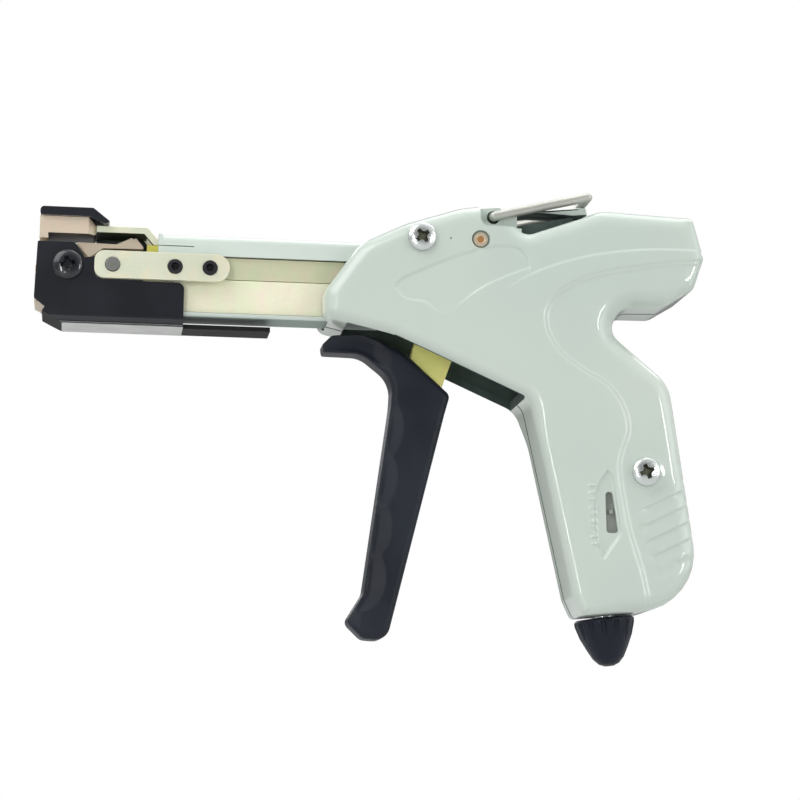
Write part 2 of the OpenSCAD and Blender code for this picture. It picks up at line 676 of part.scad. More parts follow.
module push_pin() color([0.6, 0.61, 0.62]) {
    bar_y(push_at, push_pin_r, -head_in - head_sheet / 2 + run, head_in + head_sheet / 2 - run);
}

// Side links: plated strips that tie the guide rail to the cutter pivot
link_z = -cut_pivot_drop;
rivet_xs = [cut_pivot_x + link_span - rivet_step, cut_pivot_x + link_span];
link_in = head_out + slide;
link_out = link_in + link_t;
spacer_wall = 0.6;
spacer_r = link_pin_r + spacer_wall;
link_ahead = 1.1;
link_behind = 1.5;
link_end_share = [0.7, 0.95];
link_front = cut_pivot_x - link_ahead;
link_rear = cut_pivot_x + link_span + link_behind;
module side_links() color([0.83, 0.85, 0.74]) {
    half = link_w / 2;
    both_sides() difference() {
        slab(rounded([[link_front - half, link_z + half, half * link_end_share[0]],
                      [link_rear + half, link_z + half, half * link_end_share[1]],
                      [link_rear + half, link_z - half, half * link_end_share[1]],
                      [link_front - half, link_z - half, half * link_end_share[0]]]), -link_out, -link_in);
        for (x = concat([cut_pivot_x], rivet_xs))
            bar_y([x, link_z], link_pin_r + run, -link_out - over, -link_in + over);
    }
}
// Shouldered tubular rivets from each link into the guide rail
module link_rivets() color([0.2, 0.2, 0.22]) {
    both_sides() for (x = rivet_xs) difference() {
        union() {
            bar_y([x, link_z], link_pin_r, -link_out - head_sheet / 3, -rail_wall_in - over);
            bar_y([x, link_z], spacer_r, -link_in, -bar_half);
        }
        bar_y([x, link_z], link_pin_r * 0.55, -link_out - over, -link_in);
    }
}
// Short pins from each link into the cutter head's side plates
module cutter_pivot_pins() color([0.24, 0.23, 0.27]) {
    both_sides() bar_y(cut_pivot, link_pin_r, -link_out - head_sheet / 3, -head_in + run);
}

// Finger of the trip rocker, which the cut-off bar's prongs rest against
finger_ahead = 2.5;
finger_drop = 9.9;
finger_half = 2.4;
seat_gap = 0.2;
finger = rocker_pivot - [finger_ahead, finger_drop];

// Cut-off bar: the lower plated bar, with two prongs that reach back past the trigger lever
cut_top = rail_low - slide;
cut_low = cut_top - cut_bar_h;
bar_front = push_at[0] + push_pin_r + run;
prong_rear = finger[0] - finger_half - seat_gap;
prong_step = 2.6;
prong_top = cut_top - prong_step;
prong_low = cut_low + over;
module cut_off_bar() color([0.85, 0.85, 0.72]) {
    box_at([bar_front, -bar_half, cut_low], [barrel_end, bar_half, cut_top]);
    both_sides() box_at([barrel_end - over, -bar_half, prong_low],
                        [prong_rear, -bar_half + prong_t, prong_top]);
}

// Places on the trigger sleeve, as shares of its width and height from its top front
sleeve_back = 6.3;
sleeve_gap = 2.5;
sleeve_low_left = [pivot[0] - sleeve_back - sleeve_w, barrel_low - sleeve_gap];
function sleeve_at(s) = [sleeve_low_left[0] + s[0] * sleeve_w, sleeve_low_left[1] - s[1] * sleeve_h];
// Trigger geometry. The lever's middle line runs from the pivot through the casing's mouth.
// Its bends are shares of the sleeve's width and height
lever_share = [[0.862, 0.062], [0.750, 0.245], [0.537, 0.743]];
lever_exit = sleeve_at(lever_share[0]);
lever_knee = sleeve_at(lever_share[1]);
lever_tip = sleeve_at(lever_share[2]);
lever_way = unit(lever_exit - pivot);
drive_at = pivot + drive_arm * lever_way;
rest_lean = atan2(-lever_way[0], -lever_way[1]);
pull_travel = drive_arm * (sin(rest_lean) - sin(rest_lean - squeeze));
lever_w_share = [1, 0.92, 0.68, 0.47];

// Pull bar: slides in the rail; the fork takes the drive rollers and the tongue takes the pawl
pull_rise = 0.2;
pull_top = -rail_drop + pull_rise;
pull_low = rail_low + rail_web + slide;
fork_in = lever_half + slide + run;
fork_out = bar_half - prong_t - air;
fork_gap = 0.8;
fork_start = rail_end + fork_gap;
fork_wall = 2.2;
fork_back = 4.2;
fork_rear = drive_at[0] + roller_r + fork_wall;
fork_low = drive_at[1] - roller_r - fork_wall;
slot_low = drive_at[1] - drive_arm * (1 - cos(rest_lean)) - roller_r - air;
tongue_front = 12;
tongue_w = 1;
tongue_top = pull_top - pull_rise;
tongue_heel = 4;
tongue_eye = 1.6;
tongue_rise = 1.3;
tongue_slope = 4;
module pull_bar() color([0.72, 0.7, 0.58]) {
    difference() {
        union() {
            box_at([rail_start, -pull_half, pull_low], [fork_start + over, pull_half, pull_top]);
            box_at([fork_start, -fork_out, fork_low], [fork_rear, fork_out, pull_top]);
            slab([[rail_start + over, pull_low], [tongue_front + tongue_heel, pull_low],
                  [tongue_front, pawl_pin_at[1] - tongue_eye],
                  [tongue_front, pawl_pin_at[1] + tongue_rise / 2],
                  [tongue_front + tongue_rise / 2, pawl_pin_at[1] + tongue_rise],
                  [pawl_pin_at[0] + tongue_eye, pawl_pin_at[1] + tongue_rise],
                  [pawl_pin_at[0] + tongue_eye + tongue_slope, tongue_top],
                  [rail_start + over, tongue_top]], -tongue_w, tongue_w);
        }
        box_at([fork_start + fork_back, -fork_in, fork_low - over],
               [fork_rear + over, fork_in, pull_top + over]);
        roller_slot();
        bar_y(pawl_pin_at, pawl_pin_r + run, -pull_half - over, pull_half + over);
    }
}
module roller_slot() {
    half = roller_r + slide;
    box_at([drive_at[0] - half, -fork_out - over, slot_low],
           [drive_at[0] + half, fork_out + over, drive_at[1] + half]);
}

// Gripping pawl: a toothed jaw on the pull bar's tongue
pawl_front = 10.6;
pawl_pin_at = [13.6, -1.7];
// Outline: share of the pawl's length, share of its height from the tooth tip down, radius share
pawl_share = [
    [0.000, 0.28, 0.05], [0.576, 0.32, 0.03], [0.812, 0.00, 0.01], [0.850, 0.06, 0.01],
    [0.880, 0.00, 0.01], [1.000, 0.40, 0.02], [1.000, 0.49, 0.02], [0.365, 0.52, 0.03], [0.150, 1.00, 0.01]];
cheek_skin = 0.8;
pawl_bridge_share = [0.06, 0.57];
pawl_tip_z = 1.9;
module gripping_pawl() color([0.8, 0.74, 0.64]) {
    difference() {
        slab(rounded([for (p = pawl_share) [pawl_front + p[0] * pawl_len, pawl_tip_z - p[1] * pawl_h,
                                             p[2] * pawl_h]]), -pawl_half, pawl_half);
        box_at([pawl_front - over, -tongue_w - slide, -pawl_h - over],
               [pawl_front + pawl_len * 0.56, tongue_w + slide, pawl_tip_z + over]);
        bar_y(pawl_pin_at, pawl_pin_r + run, -pawl_half + cheek_skin, pawl_half - cheek_skin);
    }
    // Bridge over the tongue that keeps the two cheeks in one piece
    box_at([pawl_front + pawl_len * pawl_bridge_share[0], -tongue_w - slide - over,
            pawl_pin_at[1] + tongue_rise + slide],
           [pawl_front + pawl_len * pawl_bridge_share[1], tongue_w + slide + over,
            pawl_tip_z - 0.31 * pawl_h]);
}
module pawl_pin() color([0.8, 0.74, 0.64]) {
    bar_y(pawl_pin_at, pawl_pin_r, -pawl_half + cheek_skin + run, pawl_half - cheek_skin - run);
}
// Leaf spring between the tongue and the pawl's heel
leaf_t = 0.35;
leaf_foot = 2;
module pawl_spring() color([0.7, 0.72, 0.74]) {
    x0 = pawl_front + pawl_len * 0.62;
    x1 = pawl_front + pawl_len * 0.94;
    top = pawl_tip_z - 0.52 * pawl_h;
    slab([[x0, tongue_top + seat], [x0, tongue_top + seat + leaf_t],
          [x0 + leaf_foot, tongue_top + seat + leaf_t],
          [x1, top - seat], [x1, top - seat - leaf_t], [x0 + leaf_foot + leaf_t / 2, tongue_top + seat]],
         -tongue_w, tongue_w);
}

// Trigger lever: thick plated steel lever
module trigger_lever() color([0.76, 0.76, 0.42]) {
    line = [pivot, lever_exit, lever_knee, lever_tip];
    difference() {
        union() {
            bar_y(pivot, lever_boss_r, -lever_half, lever_half);
            slab(ribbon(line, lever_w_share * lever_boss_r), -lever_half, lever_half);
        }
        bar_y(pivot, pivot_r + run, -lever_half - over, lever_half + over);
        bar_y(drive_at, drive_pin_r + seat, -lever_half - over, lever_half + over);
        bar_y(sleeve_pin_at, sleeve_pin_r + seat, -lever_half - over, lever_half + over);
    }
}
// Trigger sleeve: moulded black grip pushed over the lever
sleeve_share = [
    [0.009, 0.067, 0.010], [0.000, 0.041, 0.010], [0.072, 0.010, 0.022], [0.305, 0.000, 0.100],
    [0.620, 0.052, 0.140], [1.000, 0.195, 0.024], [0.957, 0.261, 0.070], [0.534, 1.000, 0.050],
    [0.348, 0.995, 0.034], [0.216, 0.942, 0.024], [0.348, 0.850, 0.045], [0.537, 0.243, 0.300],
    [0.549, 0.149, 0.095], [0.305, 0.069, 0.090]];
sleeve_corners = [for (s = sleeve_share) let(p = sleeve_at(s)) [p[0], p[1], s[2] * sleeve_h]];
// Hubs for the sleeve's flat ends: hook, knee and foot
sleeve_hub_share = [[0.233, 0.036], [0.707, 0.130], [0.434, 0.930]];
sleeve_hub_of = [0, 0, 0, 0, 1, 1, 1, 2, 2, 2, 2, 1, 1, 0];
sleeve_steps = 3;
sleeve_rings = concat(
    [for (k = [sleeve_steps:-1:0]) let(a = 90 * k / sleeve_steps)
        [sleeve_edge * (1 - cos(a)), sleeve_half - sleeve_edge + sleeve_edge * sin(a)]],
    [for (k = [0:sleeve_steps]) let(a = 90 * k / sleeve_steps)
        [sleeve_edge * (1 - cos(a)), -(sleeve_half - sleeve_edge) - sleeve_edge * sin(a)]]);
sleeve_pin_r = 1.5;
sleeve_pin_at = lever_knee + 0.3 * (lever_tip - lever_knee);
module trigger_sleeve() color([0.14, 0.15, 0.19]) {
    line = [pivot, lever_exit, lever_knee, lever_tip];
    wide = [for (w = lever_w_share) w * lever_boss_r + slide];
    difference() {
        ring_body(sleeve_corners, sleeve_rings, [for (h = sleeve_hub_share) sleeve_at(h)], sleeve_hub_of);
        slab(ribbon(line, wide), -lever_half - slide, lever_half + slide);
        bar_y(sleeve_pin_at, sleeve_pin_r + seat, -sleeve_half + over, sleeve_half - over);
    }
}
module sleeve_pin() color([0.6, 0.61, 0.62]) {
    bar_y(sleeve_pin_at, sleeve_pin_r, -sleeve_half + over + run, sleeve_half - over - run);
}
module drive_pin() color([0.6, 0.61, 0.62]) {
    bar_y(drive_at, drive_pin_r, -fork_out, fork_out);
}
module drive_rollers() color([0.66, 0.67, 0.68]) {
    both_sides() difference() {
        bar_y(drive_at, roller_r, -fork_out, -fork_in);
        bar_y(drive_at, drive_pin_r + run, -fork_out - over, -fork_in + over);
    }
}
module trigger_pivot_pin() color([0.76, 0.67, 0.5]) {
    bar_y(pivot, pivot_r, -body_half + air, body_half - air);
}
bush_wall = 1;
module pivot_bushes() color([0.85, 0.85, 0.8]) {
    both_sides() difference() {
        bar_y(pivot, pivot_r + run + bush_wall, -boss_face + run, -lever_half - run);
        bar_y(pivot, pivot_r + run, -boss_face - over, -lever_half + over);
    }
}
// Torsion spring round the far bush, one leg on the lever and one on the casing
torsion_wire_r = 0.5;
torsion_turns = 3;
module trigger_spring() color([0.7, 0.72, 0.74]) {
    mid_r = pivot_r + run + bush_wall + slide + torsion_wire_r;
    depth = boss_face - lever_half - 4 * torsion_wire_r;
    translate([pivot[0], lever_half + depth + 2 * torsion_wire_r, pivot[1]]) rotate([90, 0, 0])
        coil(mid_r, torsion_wire_r, torsion_turns, depth);
}

// Trip rocker: tips when the strap's pull beats the main spring, and pushes the cut-off bar forward
nose_up = body_h * 0.6733;
tip_at = at_axis(nose_up);
module trip_rocker() color([0.66, 0.65, 0.55]) {
    difference() {
        union() {
            bar_y(rocker_pivot, rocker_boss_r, -rocker_half, rocker_half);
            slab(ribbon([rocker_pivot, finger - [0, finger_half]], [rocker_boss_r * 0.9, finger_half]),
                 -rocker_half, rocker_half);
            slab(ribbon([rocker_pivot, tip_at], [rocker_boss_r * 0.9, tip_r]), -rocker_half, rocker_half);
            bar_y(tip_at, tip_r, -rocker_half, rocker_half);
        }
        bar_y(rocker_pivot, rocker_pin_r + run, -rocker_half - over, rocker_half + over);
    }
}
module rocker_pin() color([0.6, 0.61, 0.62]) {
    bar_y(rocker_pivot, rocker_pin_r, -inner_half + blind, inner_half - blind);
}

// Parts on the grip's leaning axis, measured up from the casing's foot
function at_axis(up) = grip_foot + up * [-sin(grip_tilt), cos(grip_tilt)];
module at_grip(up) {
    translate([grip_foot[0], 0, grip_foot[1]]) rotate([0, -grip_tilt, 0]) translate([0, 0, up]) children();
}
cap_at = nose_up - tip_r - slide;
cap_r = 6.3;
cap_t_disc = 2;
cap_stem_r = 3.6;
bulkhead_t = 2;
stem_gap = 3;
cap_stem = cap_at - bulkhead_t - 2 * cap_t_disc - rod_len - stem_gap;
bulkhead_front = 17;
module spring_cap() color([0.62, 0.63, 0.64]) {
    at_grip(cap_at - cap_t_disc) cylinder(r = cap_r, h = cap_t_disc);
    at_grip(cap_at - bulkhead_t - 2 * cap_t_disc) cylinder(r = cap_r, h = bulkhead_t + cap_t_disc + seat);
    at_grip(cap_at - bulkhead_t - 2 * cap_t_disc - cap_stem) cylinder(r = cap_stem_r, h = cap_stem + seat);
}
spring_low = nut_up + nut_h / 2 + spring_wire_r + seat;
spring_high = cap_at - bulkhead_t - 2 * cap_t_disc - spring_wire_r - seat;
module main_spring() color([0.7, 0.72, 0.74]) {
    at_grip(spring_low) coil(spring_r - spring_wire_r, spring_wire_r, spring_turns, spring_high - spring_low);
}
// Square nut that carries the spring's foot and the pointer in the window
pointer_off = 2.6;
pointer_half = 0.6;
module seat_nut() color([0.78, 0.66, 0.36]) {
    difference() {
        union() {
            at_grip(nut_up - nut_h / 2) translate([-nut_half, -nut_half, 0])
                cube([2 * nut_half, 2 * nut_half, nut_h]);
            at_grip(nut_up - pointer_half) translate([pointer_off - pointer_half, -inner_half - blind / 2, 0])
                cube([2 * pointer_half, inner_half + blind / 2, 2 * pointer_half]);
        }
        at_grip(nut_up - nut_h) cylinder(r = rod_r + run, h = 2 * nut_h);
    }
}
rod_low = -knob_len * 0.55;
module tension_rod() color([0.66, 0.67, 0.68]) {
    at_grip(rod_low) cylinder(r = rod_r, h = rod_len - rod_low);
}
foot_gap = 0.3;
module tension_knob() color([0.15, 0.16, 0.2]) {
    // Half profile of the knob: share of its radius, share of its length down from the casing
    profile_share = [[0, 0], [0.93, 0], [1, 0.04], [0.99, 0.13], [0.87, 0.38], [0.68, 0.64],
                     [0.52, 0.83], [0.34, 0.95], [0.15, 1], [0, 1]];
    difference() {
        at_grip(-foot_gap) rotate_extrude()
            polygon([for (s = profile_share) [s[0] * knob_r, -s[1] * knob_len]]);
        at_grip(rod_low - seat) cylinder(r = rod_r + seat, h = knob_len + over);
        for (k = [0:knob_grooves - 1]) at_grip(-foot_gap) rotate([0, 0, 360 * k / knob_grooves])
            translate([knob_r * 1.05, 0, 0]) rotate([0, 12, 0]) translate([0, 0, -knob_len])
                cylinder(r = knob_r * 0.09, h = knob_len - over);
    }
}
washer_up = wall + air;
module thrust_washer() color([0.76, 0.67, 0.5]) {
    at_grip(washer_up) difference() {
        cylinder(r = washer_r, h = washer_t);
        translate([0, 0, -over]) cylinder(r = rod_r + run, h = washer_t + 2 * over);
    }
}
module rod_clip() color([0.3, 0.3, 0.32]) {
    at_grip(washer_up + washer_t + run) difference() {
        cylinder(r = washer_r * 0.8, h = washer_t);
        translate([0, 0, -over]) cylinder(r = rod_r + seat, h = washer_t + 2 * over);
    }
}

// Carrying bail: bent steel wire, its ends turned in to the casing's ears
module carry_bail() color([0.66, 0.66, 0.63]) {
    translate([bail_pivot[0], 0, bail_pivot[1]]) rotate([0, -bail_rest, 0]) {
        for (side = [-1, 1]) {
            translate([0, side * bail_half, 0]) rotate([0, 90, 0]) cylinder(r = wire_r, h = bail_len);
            translate([0, side * bail_half, 0]) sphere(r = wire_r);
            translate([bail_len, side * bail_half, 0]) sphere(r = wire_r);
            translate([0, side > 0 ? bail_half - bail_end : -bail_half, 0]) rotate([-90, 0, 0])
                cylinder(r = wire_r, h = bail_end);
        }
        translate([bail_len, -bail_half, 0]) rotate([-90, 0, 0]) cylinder(r = wire_r, h = 2 * bail_half);
    }
}

near_shell();
far_shell();
shell_screws();
barrel_channel();
guide_rail();
anvil_plate();
nose_block();
nose_cap();
side_links();
link_rivets();
cutter_pivot_pins();
cutter_head();
cutter_block();
cutter_blade();
blade_screw();
blade_nut();
push_pin();
cut_off_bar();
pull_bar();
gripping_pawl();
pawl_pin();
pawl_spring();
trigger_lever();
trigger_sleeve();
sleeve_pin();
drive_pin();
drive_rollers();
trigger_pivot_pin();
pivot_bushes();
trigger_spring();
trip_rocker();
rocker_pin();
spring_cap();
main_spring();
seat_nut();
tension_rod();
tension_knob();
thrust_washer();
rod_clip();
carry_bail();
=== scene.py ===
import math

import bmesh
import bpy
import numpy as np
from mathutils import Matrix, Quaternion, Vector, geometry


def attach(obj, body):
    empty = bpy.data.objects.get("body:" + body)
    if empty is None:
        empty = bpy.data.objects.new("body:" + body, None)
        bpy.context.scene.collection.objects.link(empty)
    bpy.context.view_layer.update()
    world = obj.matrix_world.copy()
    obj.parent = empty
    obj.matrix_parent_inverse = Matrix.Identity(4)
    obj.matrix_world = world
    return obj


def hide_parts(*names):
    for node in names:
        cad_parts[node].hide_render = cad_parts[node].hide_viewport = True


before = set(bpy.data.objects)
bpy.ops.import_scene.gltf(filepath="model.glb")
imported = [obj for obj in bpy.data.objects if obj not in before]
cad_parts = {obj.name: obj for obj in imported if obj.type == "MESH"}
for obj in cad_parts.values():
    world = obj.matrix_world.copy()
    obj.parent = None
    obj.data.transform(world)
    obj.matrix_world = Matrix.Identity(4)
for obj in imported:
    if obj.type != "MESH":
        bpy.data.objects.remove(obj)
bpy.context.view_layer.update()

# Camera
# The tool is photographed level with its trigger foot, a little from the nose side, so the
# undersides of the barrel, the cutter head and the trigger hook show.
eye, aim = Vector((0.01354, -0.6862, -0.1486)), Vector((0.0978, 0, -0.0391))
tilt = Quaternion((0, 0, 1), math.radians(0.8))
camera = bpy.data.objects.new("camera", bpy.data.cameras.new("camera"))
camera.data.sensor_width, camera.data.lens = 36, 116.67
camera.location = eye
camera.rotation_mode = "QUATERNION"
camera.rotation_quaternion = (aim - eye).to_track_quat("-Z", "Y") @ tilt
bpy.context.scene.collection.objects.link(camera)
bpy.context.scene.camera = camera
bpy.context.scene.view_settings.view_transform = "Standard"


# Finishes
# Every finish is a procedural coat in the part's own coordinates. A tone is one socket of its
# nodes, so a mask or a bump height is written as a sum.
class Tone:
    def __init__(self, coat, socket):
        self.coat, self.socket = coat, socket

    def maths(self, operation, first, second):
        return self.coat.node("ShaderNodeMath", {"operation": operation}, {0: first, 1: second})

    def __add__(self, other):
        return self.maths("ADD", self, other)

    def __sub__(self, other):
        return self.maths("SUBTRACT", self, other)

    def __rsub__(self, other):
        return self.maths("SUBTRACT", other, self)

    def __mul__(self, other):
        return self.maths("MULTIPLY", self, other)

    __radd__, __rmul__ = __add__, __mul__


class Coat:
    """One finish: its fixed values go on the shader, and what varies is linked to it."""

    def __init__(self, name, fixed, tree=None):
        if tree is None:
            self.material = bpy.data.materials.new(name)
            self.material.use_nodes = True
            tree = self.material.node_tree
            self.shader = tree.nodes["Principled BSDF"]
            self.feed(fixed)
        self.tree = tree

    def node(self, kind, settings=None, sockets=None, out=0):
        made = self.tree.nodes.new(kind)
        for key, value in (settings or {}).items():
            setattr(made, key, value)
        for key, value in (sockets or {}).items():
            self.join(value, made.inputs[key])
        return Tone(self, made.outputs[out])

    def join(self, value, socket):
        if isinstance(value, Tone):
            self.tree.links.new(value.socket, socket)
        else:
            socket.default_value = value

    def feed(self, sockets):
        for key, value in sockets.items():
            self.join(value, self.shader.inputs[key])

    def place(self, stretch=(1, 1, 1)):
        """The part's own coordinates, stretched for a grain that runs one way."""
        spot = self.node("ShaderNodeTexCoord", out=3)
        return self.node("ShaderNodeVectorMath", {"operation": "MULTIPLY"}, {0: spot, 1: stretch})

    def mottle(self, size, detail=3, stretch=(1, 1, 1), low=0.35, high=0.65):
        """Cloudy mask from 0 to 1 whose patches are about size metres across."""
        cloud = self.node("ShaderNodeTexNoise", None,
                          {"Vector": self.place(stretch), "Scale": 1 / size, "Detail": detail})
        return self.node("ShaderNodeMapRange", None, {0: cloud, 1: low, 2: high})

    def blend(self, mask, first, second):
        return self.node("ShaderNodeMix", {"data_type": "RGBA"},
                         {0: mask, 6: first, 7: second}, out=2)

    def relief(self, height, depth, strength=1.0):
        return self.node("ShaderNodeBump", None,
                         {"Height": height, "Distance": depth, "Strength": strength})


def colour(red, green, blue):
    """A colour as it is seen on a screen, 0 to 255, for a shader socket."""
    return tuple((c / 255 / 12.92 if c <= 10 else ((c / 255 + 0.055) / 1.055) ** 2.4)
                 for c in (red, green, blue)) + (1,)


# Studio
# A white sweep: large soft boxes above and at the sides, dark cards in front, behind and on the
# left, and narrow strips beside the lens that draw the thin highlights along the enamelled edges.
lit_spot = Vector((0.1, 0, -0.04))


def softbox(name, way, reach, size, watts):
    lamp = bpy.data.lights.new(name, "AREA")
    lamp.shape, lamp.size, lamp.size_y, lamp.energy = "RECTANGLE", size[0], size[1], watts
    box = bpy.data.objects.new(name, lamp)
    box.location = lit_spot + Vector(way).normalized() * reach
    box.rotation_mode = "QUATERNION"
    box.rotation_quaternion = (-Vector(way)).to_track_quat("-Z", "Y")
    bpy.context.scene.collection.objects.link(box)


softbox("key_box", (-0.62, -0.50, 0.66), 1.1, (0.9, 0.9), 6.2)
softbox("top_box", (0.15, 0.1, 0.94), 0.95, (0.9, 0.5), 3.2)
softbox("side_box", (0.85, -0.55, 0.19), 1.05, (0.4, 0.7), 1.4)
softbox("rear_box", (-0.39, 0.85, 0.44), 1.05, (0.6, 0.5), 3.0)
softbox("left_strip", (-0.40, -0.91, 0.03), 0.8, (0.045, 0.3), 1.0)
softbox("corner_spot", (-0.24, -0.945, -0.20), 0.8, (0.06, 0.07), 0.16)
softbox("right_strip", (0.60, -0.79, 0.10), 0.8, (0.045, 0.22), 0.7)
softbox("bend_strip", (0.12, -0.77, -0.62), 0.8, (0.4, 0.05), 0.8)
softbox("cap_box", (0.62, 0.20, 0.75), 0.9, (0.3, 0.3), 0.9)
softbox("low_strip", (0.03, -0.93, -0.35), 0.8, (0.25, 0.04), 0.5)

world = bpy.data.worlds.new("sweep")
world.use_nodes = True
bpy.context.scene.world = world
sweep = Coat("sweep", None, world.node_tree)
way = sweep.node("ShaderNodeTexCoord", out=0)
card = sweep.node("ShaderNodeSeparateXYZ", None, {0: way}, out=1)
left = sweep.node("ShaderNodeSeparateXYZ", None, {0: way}, out=0)
left = sweep.node("ShaderNodeMapRange", {"interpolation_type": "SMOOTHSTEP"},
                  {0: left, 1: -0.45, 2: -0.95})
card = sweep.node("ShaderNodeMapRange", {"interpolation_type": "SMOOTHSTEP"},
                  {0: card * card, 1: 0.2, 2: 0.85})
seen = sweep.node("ShaderNodeLightPath", out=0)
sky, card_dim, left_dim = 0.68, 0.3, 0.28
shine_lift, shine_dim = 0.38, 0.56
glow = sky - card_dim * card - left_dim * left
background = world.node_tree.nodes["Background"]
background.inputs["Color"].default_value = (1, 1, 1, 1)
shine = sweep.node("ShaderNodeLightPath", out=3)
soft = glow + shine * (shine_lift - shine_dim * card)
sweep.join(soft + seen * (1 - soft), background.inputs["Strength"])


floor_radius, floor_spot = 4, (0.09, 0, -0.205)
floor_share = 0.85


def plain_floor():
    """A white floor below the tool; the camera looks along it, so it shows only from above."""
    work = bmesh.new()
    bmesh.ops.create_circle(work, cap_ends=True, radius=floor_radius, segments=96)
    mesh = bpy.data.meshes.new("floor")
    work.to_mesh(mesh)
    floor = bpy.data.objects.new("floor", mesh)
    floor.location = floor_spot
    bpy.context.scene.collection.objects.link(floor)
    coat = Coat("floor paper", {"Base Color": (0.62, 0.62, 0.62, 1), "Roughness": 0.9})
    paper = coat.tree.nodes["Principled BSDF"]
    light = coat.node("ShaderNodeEmission", None, {0: (1, 1, 1, 1), 1: 1.0})
    ray = coat.node("ShaderNodeLightPath", out=0)
    mixed = coat.node("ShaderNodeMixShader", None,
                      {0: ray * floor_share, 1: Tone(coat, paper.outputs[0]), 2: light})
    coat.join(mixed, coat.tree.nodes["Material Output"].inputs[0])
    mesh.materials.append(coat.material)


plain_floor()

# Casing halves
# Two die-cast halves, stove enamelled in glossy pale sage. The side faces carry a sunk leaf, a
# stepped line that sweeps from the rear down the grip, and a sunk dish round the setting window.
MM = 0.001
barrel_out, body_len, body_h, body_top, body_half, wall = 75.6, 103.1, 110.8, 13.2, 15.0, 2.4
seam = 0.05


def rounded(corners, steps):
    """Outline with round corners; a corner is x, z and radius in mm."""
    line = []
    for i, (x, z, r) in enumerate(corners):
        here = np.array((x, z))
        back = np.array(corners[i - 1][:2]) - here
        on = np.array(corners[(i + 1) % len(corners)][:2]) - here
        back, on = back / np.linalg.norm(back), on / np.linalg.norm(on)
        half = math.acos(max(-1.0, min(1.0, float(back @ on)))) / 2
        middle = here + (back + on) / np.linalg.norm(back + on) * r / math.sin(half)
        start = here + back * r / math.tan(half) - middle
        end = here + on * r / math.tan(half) - middle
        first = math.atan2(start[1], start[0])
        sweep_by = (math.atan2(end[1], end[0]) - first + math.pi) % (2 * math.pi) - math.pi
        for k in range(steps + 1):
            a = first + sweep_by * k / steps
            line.append(middle + r * np.array((math.cos(a), math.sin(a))))
    return np.array(line)


def inset(corners, depth):
    """The same corners moved inwards; outlines run clockwise seen from the near side."""
    moved = []
    for i, (x, z, r) in enumerate(corners):
        here = np.array((x, z))
        u = here - np.array(corners[i - 1][:2])
        v = np.array(corners[(i + 1) % len(corners)][:2]) - here
        u, v = u / np.linalg.norm(u), v / np.linalg.norm(v)
        n1, n2 = np.array((u[1], -u[0])), np.array((v[1], -v[0]))
        spot = here + depth * (n1 + n2) / (1 + n1 @ n2)
        way = 1 if u[0] * v[1] - u[1] * v[0] < 0 else -1
        moved.append((spot[0], spot[1], max(r - way * depth, r * 0.1)))
    return moved


def stations(line, step, closed=False):
    """Points along a bent line no further apart than step."""
    ends = np.roll(line, -1, axis=0) if closed else line[1:]
    points = []
    for a, b in zip(line, ends):
        n = max(1, math.ceil(float(np.linalg.norm(b - a)) / step))
        points += [a + (b - a) * k / n for k in range(n)]
    return np.array(points if closed else points + [line[-1]])


def flow(points, step=0.9):
    """Smooth curve through a few points."""
    p = np.array(points, float)
    p = np.vstack([2 * p[0] - p[1], p, 2 * p[-1] - p[-2]])
    line = []
    for i in range(1, len(p) - 2):
        n = max(2, math.ceil(float(np.linalg.norm(p[i + 1] - p[i])) / step))
        for t in np.arange(n) / n:
            line.append(0.5 * (2 * p[i] + (p[i + 1] - p[i - 1]) * t
                               + (2 * p[i - 1] - 5 * p[i] + 4 * p[i + 1] - p[i + 2]) * t ** 2
                               + (3 * p[i] - 3 * p[i + 1] + p[i + 2] - p[i - 1]) * t ** 3))
    return np.array(line + [p[-2]])


def away(points, line, closed=False):
    """Distance of each point from a bent line, in mm."""
    ends = np.roll(line, -1, axis=0) if closed else line[1:]
    out = np.full(len(points), 1e9)
    for a, b in zip(line, ends):
        d = b - a
        t = np.clip((points - a) @ d / max(float(d @ d), 1e-12), 0, 1)
        out = np.minimum(out, np.hypot(*(points - a - t[:, None] * d).T))
    return out


def within(points, outline):
    """True for the points inside a closed outline."""
    x, z = points.T
    inside = np.zeros(len(points), bool)
    for (x1, z1), (x2, z2) in zip(outline, np.roll(outline, -1, axis=0)):
        if z1 != z2:
            crossing = x1 + (z - z1) * (x2 - x1) / (z2 - z1)
            inside ^= ((z1 > z) != (z2 > z)) & (x < crossing)
    return inside


def depth_in(points, outline):
    """Distance inside a closed outline, negative outside it."""
    return away(points, outline, True) * np.where(within(points, outline), 1, -1)


def ease(value, low, high):
    t = np.clip((value - low) / (high - low), 0, 1)
    return t * t * (3 - 2 * t)


def fillet(edge, radius):
    """How far a face drops towards its edge, for a fillet of this radius."""
    arc = np.sqrt(np.maximum(radius ** 2 - (radius - edge) ** 2, 0)) - radius
    return np.where(edge < radius, arc, 0)


def normals(line, closed):
    nxt = np.roll(line, -1, axis=0) if closed else np.vstack([line[1:], 2 * line[-1] - line[-2]])
    prv = np.roll(line, 1, axis=0) if closed else np.vstack([2 * line[0] - line[1], line[:-1]])
    way = nxt - prv
    way = way / np.maximum(np.hypot(*way.T), 1e-9)[:, None]
    return np.stack([way[:, 1], -way[:, 0]], axis=1)


fine_steps = (-1.0, -0.75, -0.5, -0.25, 0, 0.25, 0.5, 0.75, 1.0)


